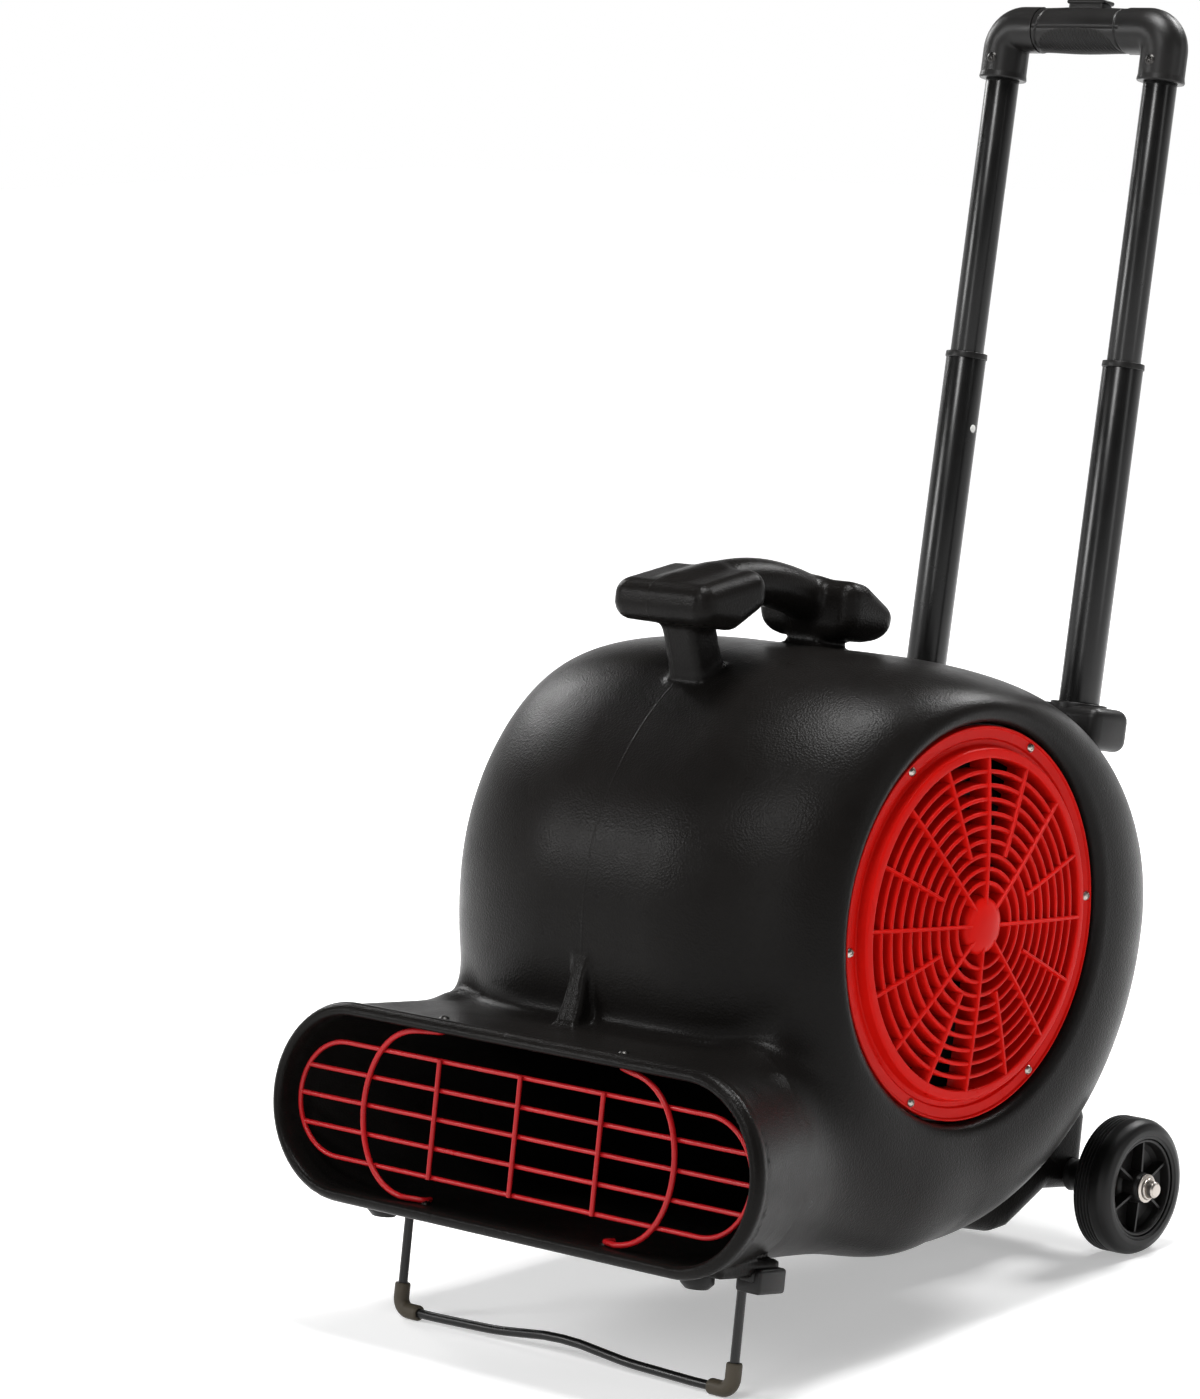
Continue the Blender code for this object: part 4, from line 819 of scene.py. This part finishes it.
def make_inlet_grille(side, sign):
    place = BODY @ move(sign * (SEAT_X + FIT_GAP), DRUM_Y, DRUM_Z) @ OUTWARD[side]
    bm = bmesh.new()
    rim = rounded([(0.136, 0), (0.136, 0.0064), (0.1346, 0.0064), (0.1338, 0.005), (0.1272, 0.005),
                   (0.1262, 0.0032), (0.1226, 0.0032), (0.1212, 0.01), (0.12, 0.0112), (0.1142, 0.0118),
                   (0.1136, -0.006), (0.116, -0.006), (0.116, 0)],
                  [0, 0.0011, 0.0006, 0.0006, 0.0009, 0.0006, 0.0012, 0.001, 0.0014, 0.0011, 0, 0, 0],
                  3, True)
    add_turned(bm, rim, 128, ring=True)
    pitch = (GRILLE_R - GRILLE_HUB_R) / (GRILLE_RINGS + 1)
    for i in range(GRILLE_RINGS):
        r = GRILLE_HUB_R + pitch * (i + 1)
        top = grille_top(r)
        slat = rounded([(r - 0.0013, top - GRILLE_DEPTH), (r + 0.0013, top - GRILLE_DEPTH),
                        (r + 0.0015, top - 0.0001), (r - 0.0015, top + 0.0001)],
                       [0.0003, 0.0003, 0.0011, 0.0011], 3, True)
        add_turned(bm, slat, 56 + 8 * i, ring=True)
    for k in range(16):
        angle = pi * k / 8 + radians(3)
        start = 0.014 if k % 2 == 0 else 0.05
        rings = []
        for r in [start + (0.115 - start) * s / 10 for s in range(11)]:
            top = grille_top(r) + 0.0011
            outline = [(-0.0011, top - GRILLE_DEPTH), (0.0011, top - GRILLE_DEPTH), (0.0013, top - 0.0009),
                       (0.0007, top), (-0.0007, top), (-0.0013, top - 0.0009)]
            rings.append([bm.verts.new(turn(angle, "Z") @ Vector((r, u, h))) for u, h in outline])
        join_rings(bm, rings)
    hub = [(0, 0.0196), (0.006, 0.0194), (0.012, 0.0187), (0.0165, 0.0174), (0.019, 0.0158),
           (0.0202, 0.0136), (0.0204, 0.0105), (0.0204, 0.0062), (0.019, 0.0056), (0, 0.0056)]
    add_turned(bm, hub, 64)
    piece("inlet_guard_" + side, bm, place, "base", RED, ["inlet_grille_" + side], 50)
    heads = bmesh.new()
    for i in range(6):
        angle = radians(9 + 60 * i)
        at = move(sign * (FLANGE_X + FIT_GAP), DRUM_Y + GRILLE_SCREW_R * cos(angle),
                  DRUM_Z + GRILLE_SCREW_R * sin(angle))
        add_screw(heads, at @ OUTWARD[side] @ turn(0.7 * i, "Z"), 0.0034, 0.0022)
    piece("inlet_screw_heads_" + side, heads, BODY, "base", STEEL,
          [f"inlet_screw_{side}_{i + 1}" for i in range(6)])


# Outlet guard

def make_outlet_guard():
    bm = bmesh.new()
    reach = GUARD_HALF_X - GUARD_HALF_Z
    loop = []
    for middle, start in ((reach, -90), (-reach, 90)):
        for k in range(25):
            angle = radians(start + 180 * k / 24)
            loop.append((middle + GUARD_HALF_Z * cos(angle), 0, GUARD_HALF_Z * sin(angle)))
    add_tube(bm, loop, ROW_R, 16, True)
    for row in (-1, 0, 1):
        z = GUARD_HALF_Z * row / 2
        half = reach + sqrt(GUARD_HALF_Z ** 2 - z ** 2)
        add_tube(bm, [(-half, 0.0005, z), (half, 0.0005, z)], ROW_R)
    for column in (-1, 0, 1):
        x = column * GUARD_PITCH
        half = GUARD_HALF_Z + 0.0012
        add_tube(bm, [(x, GUARD_FRONT, -half), (x, GUARD_FRONT, half)], ROW_R)
    inset = WALL + WIRE_R + 0.0002
    top = shelf_top(GUARD_Y + GUARD_FRONT) - inset - GUARD_Z
    bottom = MOUTH_BOTTOM_Z + inset - GUARD_Z
    for _, sign in SIDES:
        bow = []
        for k in range(29):
            share = k / 28
            x = HOOP_END_X + (HOOP_MIDDLE_X - HOOP_END_X) * sin(pi * share) ** 0.8
            rise = 0.5 - 0.5 * cos(pi * share)
            bow.append((sign * x, GUARD_FRONT, bottom + (top - bottom) * rise))
        end = sign * (HOOP_END_X - 0.004)
        bend = sign * (HOOP_END_X - 0.007)
        foot = [(end, 0.0115, bottom), (bend, 0.004, bottom)]
        head = [(bend, 0.004, top + 0.0007), (end, 0.0115, top + 0.0015)]
        add_tube(bm, rounded(foot + bow[1:-1] + head, 0.006, 5), HOOP_R, 14)
    piece("outlet_guard", bm, BODY @ move(0, GUARD_Y, GUARD_Z), "base", RED_WIRE, ["outlet_grille"])
    heads = bmesh.new()
    y = GUARD_Y + 0.005
    slope = turn(atan(SHELF_SLOPE), "X")
    top = shelf_top(y) + 0.0002
    for x in (-GUARD_SCREW_X, GUARD_SCREW_X):
        add_screw(heads, move(x, y, top) @ slope, 0.0036, 0.0014)
        add_screw(heads, move(x, y, MOUTH_BOTTOM_Z + WALL + 0.0002))
    piece("outlet_screw_heads", heads, BODY, "base", SHADED_STEEL, [f"outlet_screw_{i}" for i in range(1, 5)])


# Trolley handle

def make_tubes():
    for side, sign in SIDES:
        place = LINE @ move(sign * TUBE_X, 0, 0)
        for name, body, radius, wall, low, high in (
                ("outer_tube", "base", OUTER_TUBE_R, 0.0025, -OUTER_TUBE_LENGTH, -FIT_GAP),
                ("middle_tube", "handle_lower", MIDDLE_TUBE_R, 0.002, -0.07, MIDDLE_TUBE_TOP),
                ("inner_tube", "handle_upper", INNER_TUBE_R, 0.002, 0.19, ELBOW_BOTTOM + 0.009)):
            pipe = rounded([(radius, low), (radius, high), (radius - wall, high), (radius - wall, low)],
                           0.3 * wall, 2, True)
            turned_piece(f"{name}_{side}_skin", pipe, 56, place, body, TUBE, [f"{name}_{side}"])
        top = MIDDLE_TUBE_TOP + FIT_GAP
        cap = rounded([(INNER_TUBE_R + 0.0003, top + 0.0012), (0.0155, top + 0.0012), (0.0158, top - 0.003),
                       (0.0153, top - 0.0034), (0.0153, top), (INNER_TUBE_R + 0.0003, top)],
                      [0.0002, 0.0006, 0.0003, 0, 0, 0], 3, True)
        turned_piece("ferrule_ring_" + side, cap, 56, place, "handle_lower", MOULDED, ["ferrule_" + side])
    pin = rounded([(0, 0.0003), (0.003, 0.0001), (0.003, -0.0018), (0, -0.0018)], [0, 0.0003, 0, 0], 3)
    at = LINE @ move(MIDDLE_TUBE_R - TUBE_X, 0, MIDDLE_TUBE_TOP - LOCK_PIN_DROP) @ turn(pi / 2, "Y")
    turned_piece("lock_pin_button", pin, 28, at, "handle_lower", WHITE, ["lock_pin"], False)


def make_yoke():
    bm = bmesh.new()
    add_box(bm, YOKE_SIZE, 0.0085, move(0, 0, -YOKE_SIZE[2] / 2), 5)
    bores = bmesh.new()
    radius = OUTER_TUBE_R + FIT_GAP
    collar = rounded([(0.0205, -0.004), (0.0205, 0.0016), (0.0155, 0.0016), (0.0155, -0.004)],
                     [0, 0.0008, 0.0004, 0], 3, True)
    places = [move(sign * TUBE_X, 0, 0) for _, sign in SIDES]
    for place in places:
        add_turned(bores, [(0, -0.05), (radius, -0.05), (radius, 0.02), (0, 0.02)], 56, place)
    bm = carved(bm, bores)
    for place in places:
        add_turned(bm, collar, 56, place, True)
    piece("yoke_block", bm, LINE, "base", MOULDED, ["trolley_yoke"])


def make_elbow(side, sign):
    bm = bmesh.new()
    x = sign * TUBE_X
    corner = [(x, 0, ELBOW_BOTTOM), (x, 0, BAR_Z), (sign * (GRIP_HALF_X + FIT_GAP), 0, BAR_Z)]
    section = circle(ELBOW_R, 48)
    section[0] = (ELBOW_R - ELBOW_SEAM, 0)
    section[24] = (ELBOW_SEAM - ELBOW_R, 0)
    add_tube(bm, rounded(corner, ELBOW_BEND_R, 14), ELBOW_R, section=section)
    skirt = rounded([(ELBOW_R - 0.001, 0.01), (ELBOW_R + 0.0006, 0.0006), (ELBOW_R + 0.0002, -0.0006),
                     (INNER_TUBE_R + 0.0003, -0.0006), (INNER_TUBE_R + 0.0003, 0.0045)],
                    [0, 0.0004, 0.0004, 0, 0], 3, True)
    add_turned(bm, skirt, 56, move(x, 0, ELBOW_BOTTOM), True)
    piece("elbow_cover_" + side, bm, LINE, "handle_upper", MOULDED, ["elbow_" + side])
    heads = bmesh.new()
    at = move(x, 0.0004 - ELBOW_R, BAR_Z - 0.0235) @ turn(pi / 2, "X")
    add_screw(heads, at @ turn(0.4, "Z"), 0.0042, 0.0016)
    piece("elbow_screw_" + side, heads, LINE, "handle_upper", ELBOW_SCREW)


def make_grip():
    """The grip: a smooth upper shell, a ribbed patch below and a slanted seam at each end."""
    place = LINE @ move(0, 0, BAR_Z)
    bm = bmesh.new()
    along = 150
    across = 132
    rings = []
    for i in range(along + 1):
        share = i / along
        x = GRIP_HALF_X * (2 * share - 1)
        ring = []
        for k in range(across):
            angle = 2 * pi * k / across
            up = cos(angle)
            r = GRIP_R + 0.0009 * cos(pi * share - pi / 2) ** 2
            seam = GRIP_HALF_X - 0.0042 - 0.0024 * up
            r -= 0.0007 * exp(-((abs(x) - seam) / 0.0005) ** 2)
            r -= 0.0005 * exp(-((angle % pi - pi / 2) * GRIP_R / 0.0005) ** 2)
            oval = (x / 0.037) ** 4 + (abs(angle - pi) / 1.5) ** 2
            ribbed = min(max((1 - oval) / 0.08, 0), 1)
            wave = sin(2 * pi * (x + 0.35 * angle * GRIP_R) / RIB_PITCH)
            r += ribbed * (0.00055 * wave - 0.0004)
            ring.append(bm.verts.new((x, r * sin(angle), r * up)))
        rings.append(ring)
    join_rings(bm, rings)
    for size, z in (((0.033, 0.0135, 0.026), 0.0175), ((0.0355, 0.015, 0.01), 0.0196)):
        pocket = bmesh.new()
        add_box(pocket, size, 0.001, move(0, 0, z), 2)
        bm = carved(bm, pocket)
    piece("grip_cover", bm, place, "handle_upper", MOULDED, ["grip"], 50)
    bm = bmesh.new()
    add_box(bm, (0.032, 0.0125, 0.013), 0.0024, move(0, 0, 0.0155), 4)
    add_box(bm, (0.0345, 0.014, 0.0034), 0.0016, move(0, 0, 0.0208), 4)
    piece("button_cap", bm, place, "button", MOULDED, ["release_button"])


# Wheels and axle

def make_wheel(side, sign):
    place = BODY @ move(sign * WHEEL_X, 0, 0) @ OUTWARD[side]
    half = WHEEL_HALF_X
    outline = [(TYRE_INNER_R, -half + 0.001), (0.0385, -half + 0.0002), (0.044, -half + 0.0004),
               (0.0488, -half + 0.0036)]
    for centre in (-0.0108, -0.008, -0.0052, -0.0024, 0.0004):
        outline += [(0.0499, centre - 0.0008), (0.0487, centre - 0.0004), (0.0487, centre + 0.0004),
                    (0.0499, centre + 0.0008)]
    outline += [(0.05, 0.003), (0.0497, 0.0085), (0.047, half - 0.002), (0.042, half - 0.0001),
                (0.0384, half - 0.0002), (0.0376, half - 0.0012), (TYRE_INNER_R, half - 0.0016)]
    radii = [0, 0.0004, 0.003, 0.003] + [0.0003] * 20 + [0.001, 0.006, 0.006, 0.004, 0.0006, 0.0003, 0]
    turned_piece("tyre_skin_" + side, rounded(outline, radii, 3, True), 96, place, "wheel_" + side, RUBBER,
                 ["tyre_" + side], sharp=30)

    rim = TYRE_INNER_R - FIT_GAP
    bm = bmesh.new()
    dish = [(AXLE_R + 0.0005, half), (0.0102, half), (0.0112, half - 0.003), (0.0118, 0.0032),
            (0.015, 0.002), (0.029, 0.003), (0.0322, 0.006), (0.0333, half - 0.0026), (rim, half - 0.0026),
            (rim, 0.0026 - half), (0.0333, 0.0026 - half), (0.0322, -0.006), (0.029, -0.002),
            (0.015, -0.002), (0.0118, -0.0032), (0.011, -half), (AXLE_R + 0.0005, -half)]
    add_turned(bm, rounded(dish, 0.0009, 3, True), 72, ring=True)
    rib = [(0.0105, 0.001), (0.034, 0.001), (0.034, 0.0108), (0.0105, 0.0118)]
    for k in range(6):
        at = turn(pi * k / 3, "Z")
        for face in (1, -1):
            rings = [[bm.verts.new(at @ Vector((r, y, face * h))) for r, h in rib] for y in (0.0009, -0.0009)]
            join_rings(bm, rings)
    piece("hub_dish_" + side, bm, place, "wheel_" + side, MOULDED, ["wheel_hub_" + side])

    out = BODY @ OUTWARD[side]
    bore = AXLE_R + FIT_GAP
    inner = WHEEL_X - half - FIT_GAP
    outer = WHEEL_X + half + FIT_GAP
    clip_at = outer + 0.0024
    bush = [(bore, 0.0803), (0.0125, 0.0803), (0.011, 0.085), (0.011, inner), (bore, inner)]
    washer = [(bore, outer), (0.0105, outer), (0.0105, outer + 0.0014), (0.0082, outer + 0.0022),
              (bore, outer + 0.0022)]
    clip = [(bore, clip_at), (0.0085, clip_at), (0.0076, clip_at + 0.002), (bore, clip_at + 0.002)]
    for name, profile, radius, segments, finish in (
            ("bush", bush, 0.0006, 48, MOULDED), ("washer", washer, 0.0005, 56, STEEL),
            ("clip", clip, 0.0006, 56, STEEL)):
        turned_piece(f"axle_{name}_ring_{side}", rounded(profile, radius, 3, True), segments, out, "base",
                     finish, [f"axle_{name}_{side}"])


def make_axle():
    half = [(AXLE_R, AXLE_END_X - 0.0016), (AXLE_R - 0.0014, AXLE_END_X), (0, AXLE_END_X)]
    profile = rounded([(r, -x) for r, x in half[::-1]] + half, 0.0004, 2)
    turned_piece("axle_rod", profile, 48, BODY @ turn(pi / 2, "Y"), "base", STEEL, ["wheel_axle"], False)


# Stand and feet

def make_stand():
    place = BODY @ move(0, STAND_Y, STAND_Z)
    foot = (SLEEVE_R - WHEEL_R + sin(TILT) * STAND_Y) / cos(TILT) - STAND_Z
    bm = bmesh.new()
    half = [(0.1726, 0, 0), (STAND_X, 0, 0), (STAND_X, 0, foot), (0.118, 0, foot), (0.06, 0, foot + 0.0016),
            (0.016, 0, foot + 0.0062), (0, 0, foot + 0.0067)]
    corners = half + [(-x, y, z) for x, y, z in half[-2::-1]]
    radii = [0, 0.006, STAND_BEND_R, 0.3, 0.3, 0.05, 0.05, 0.05, 0.3, 0.3, STAND_BEND_R, 0.006, 0]
    add_tube(bm, rounded(corners, radii, 8), STAND_WIRE_R, 20)
    piece("stand_bar", bm, place, "stand", STAND, ["stand_wire"])
    cuff = rounded([(STAND_WIRE_R, 0.0012), (SLEEVE_R - 0.0004, 0.0012), (SLEEVE_R, -0.0004),
                    (STAND_WIRE_R, -0.0004)], 0.0006, 3, True)
    pad = rounded([(0, -0.0395), (0.0115, -0.0395), (0.0115, -0.0462), (0.0078, -0.05), (0.004, -0.05),
                   (0.0034, -0.049), (0, -0.049)], [0, 0.0004, 0.0015, 0.0012, 0.0004, 0.0004, 0], 3)
    for side, sign in SIDES:
        x = sign * STAND_X
        bm = bmesh.new()
        ell = rounded([(x, 0, foot + 0.0175), (x, 0, foot), (x - sign * 0.0175, 0, foot)], STAND_BEND_R, 12)
        add_tube(bm, ell, SLEEVE_R, 28)
        for end, axis in ((ell[0], turn(0, "Z")), (ell[-1], turn(-sign * pi / 2, "Y"))):
            add_turned(bm, cuff, 28, move(*end) @ axis, True)
        piece("stand_sleeve_skin_" + side, bm, place, "stand", SLEEVE, ["stand_sleeve_" + side])
        bm = bmesh.new()
        block = move(sign * STAND_BLOCK_X, STAND_Y, STAND_Z)
        add_box(bm, (0.021, 0.028, 0.017), 0.0026, block @ move(0, 0, 0.0032), 4)
        add_box(bm, (0.012, 0.031, 0.007), 0.0015, block @ move(0, 0, 0.006), 3)
        piece("stand_clip_" + side, bm, BODY, "base", MOULDED, ["stand_block_" + side])
        turned_piece("foot_disc_" + side, pad, 48, BODY @ move(sign * FOOT_X, FOOT_Y, 0), "base", FOOT,
                     ["front_foot_" + side], False)


# Switch and cable entry on the rear

def add_digit(digit, place):
    name = "dial_number_" + digit
    curve = bpy.data.curves.new(name, "FONT")
    curve.body = digit
    curve.size = DIGIT_HEIGHT
    curve.align_x = "CENTER"
    curve.align_y = "CENTER"
    curve.extrude = 0.00012
    mesh = evaluated(linked(name + "_curve", curve))
    mesh.transform(place)
    show(name, mesh, "base", WHITE)


def make_controls():
    rear = LINE @ move(0, REAR_FACE, -SWITCH_DROP) @ turn(-pi / 2, "X")
    bm = bmesh.new()
    add_box(bm, (0.07, 0.06, 0.003), 0.0012, move(0, 0, 0.0015), 3)
    for x in (-0.0305, 0.0305):
        for y in (-0.0255, 0.0255):
            add_screw(bm, move(x, y, 0.003), 0.0026, 0.0012)
    piece("switch_panel", bm, rear, "base", MOULDED, ["switch_plate"])
    for i, digit in enumerate("0123"):
        angle = radians(90 - 45 * i)
        add_digit(digit, rear @ move(DIAL_R * cos(angle), DIAL_R * sin(angle), 0.0031))
    bm = bmesh.new()
    rings = []
    for share, height in ((1.0, 0), (1.0, 0.0012), (0.9, 0.0026), (0.86, 0.011), (0.82, 0.0134),
                          (0.76, 0.014), (0, 0.014)):
        ring = []
        for k, (c, s) in enumerate(circle(1, 96)):
            fluted = 0.78 < share < 0.95 and cos(18 * 2 * pi * k / 96) < -0.2
            r = KNOB_R * share - (0.0007 if fluted else 0)
            ring.append(bm.verts.new((r * c, r * s, height)))
        rings.append(ring)
    join_rings(bm, rings)
    knob_place = rear @ move(0, 0, 0.0033)
    piece("speed_knob_cap", bm, knob_place, "knob", MOULDED, ["speed_knob"])
    bm = bmesh.new()
    add_box(bm, (0.0012, 0.008, 0.0006), 0.0002, move(0, 0.008, 0.0141), 2)
    piece("speed_knob_mark", bm, knob_place, "knob", WHITE)
    bm = bmesh.new()
    gland = LINE @ move(0, REAR_FACE, -GLAND_DROP) @ turn(-pi / 2, "X")
    add_turned(bm, [(0, 0), (0.011, 0), (0.011, 0.006), (0.0102, 0.0068), (0, 0.0068)], 6)
    cone = rounded([(0, 0.006), (0.0096, 0.006), (0.0096, 0.0085), (0.0082, 0.0135), (0.0058, 0.016),
                    (0.004, 0.016), (0.004, 0.01), (0, 0.01)], 0.0006, 3)
    add_turned(bm, cone, 40)
    piece("cable_gland_nut", bm, gland, "base", MOULDED, ["cable_gland"])


# Stage

WORLD_FADE = (0.13, 0.3)
WORLD_LIGHT = 0.035
FLOOR_WHITE = (0.38, 1.0)
FLOOR_FADE = (0.6, 1.6)
LAMP_TARGET = Vector((0, 0, 0.35))
CAMERA_PLACE = (2.2157, -2.68478, 0.9571)
CAMERA_ANGLES = (42.008, 8.781, -0.37)
LENS = 128.455
SENSOR = 36
LAMPS = (("top", (0.1, 0.0, 2.7), (1.0, 0.85), 66),
         ("front_left", (-1.9, -2.4, 1.5), (0.8, 0.8), 32),
         ("front_right", (0.5, -2.6, 2.8), (0.75, 0.75), 39),
         ("front_strip", (0.9, -3.0, 1.05), (0.4, 1.3), 9),
         ("left", (-2.7, 0.6, 1.75), (0.95, 0.8), 24),
         ("right", (2.9, 0.5, 1.3), (0.5, 2.0), 8),
         ("back", (0.2, 2.4, 2.4), (1.0, 0.8), 56))


def white_out(look, strength):
    """White for the camera, in reflections and through glass."""
    rays = look.node("LightPath").outputs
    mirrored = look.math("MAXIMUM", rays["Is Glossy Ray"], rays["Is Transmission Ray"])
    seen = look.math("MAXIMUM", rays["Is Camera Ray"], mirrored)
    look.feed(look.math("MULTIPLY", seen, strength), "Emission Strength")
    look.shader.inputs["Emission Color"].default_value = (1, 1, 1, 1)


def make_stage():
    bm = bmesh.new()
    add_box(bm, (24, 24, 0.02), 0.004, move(0, 0, -0.0104), 1)
    floor = linked("floor", mesh_of(bm, "floor"))
    look = Look("floor_pale", base_color=(0.86, 0.86, 0.86, 1), roughness=0.9, specular_ior_level=0.1)
    look.bump((look.noise(220.0, 3.0), 0.05, 0.0002))
    apart = look.node("VectorMath", {0: look.place}, operation="LENGTH").outputs["Value"]
    white_out(look, look.spread(apart, *FLOOR_WHITE, *FLOOR_FADE))
    floor.data.materials.append(look.made)

    world = bpy.data.worlds.new("studio")
    bpy.context.scene.world = world
    world.use_nodes = True
    tree = world.node_tree
    way = tree.nodes.new("ShaderNodeSeparateXYZ")
    tree.links.new(tree.nodes.new("ShaderNodeTexCoord").outputs["Generated"], way.inputs[0])
    strength = map_range(tree, way.outputs["Z"], *WORLD_FADE, 1.0, WORLD_LIGHT)
    background = tree.nodes["Background"].inputs
    background["Color"].default_value = (1, 1, 1, 1)
    tree.links.new(strength, background["Strength"])

    for name, place, size, power in LAMPS:
        lamp = bpy.data.lights.new(name, "AREA")
        lamp.shape = "RECTANGLE"
        lamp.size, lamp.size_y = size
        lamp.energy = power
        made = linked(name, lamp)
        made.location = place
        made.rotation_euler = (LAMP_TARGET - Vector(place)).to_track_quat("-Z", "Y").to_euler()


def make_camera():
    yaw, pitch, roll = (radians(a) for a in CAMERA_ANGLES)
    lens = bpy.data.cameras.new("camera")
    lens.sensor_width = SENSOR
    lens.lens = LENS
    made = linked("camera", lens)
    aim = turn(yaw, "Z") @ turn(pi / 2 - pitch, "X") @ turn(roll, "Z")
    made.matrix_world = move(*CAMERA_PLACE) @ aim
    bpy.context.scene.camera = made


make_camera()
make_stage()
make_housing()
make_tubes()
make_yoke()
make_grip()
make_axle()
make_stand()
make_outlet_guard()
make_controls()
for side_and_sign in SIDES:
    make_inlet_grille(*side_and_sign)
    make_elbow(*side_and_sign)
    make_wheel(*side_and_sign)
for node, (look, _) in (("blower_wheel", FAN), ("motor_shaft", STEEL), ("motor_bracket", FAN),
                        ("motor_casing", MOTOR)):
    mesh = frame["nodes"][node].data
    mesh.materials.clear()
    mesh.materials.append(look)

bpy.context.scene.view_settings.view_transform = "Standard"
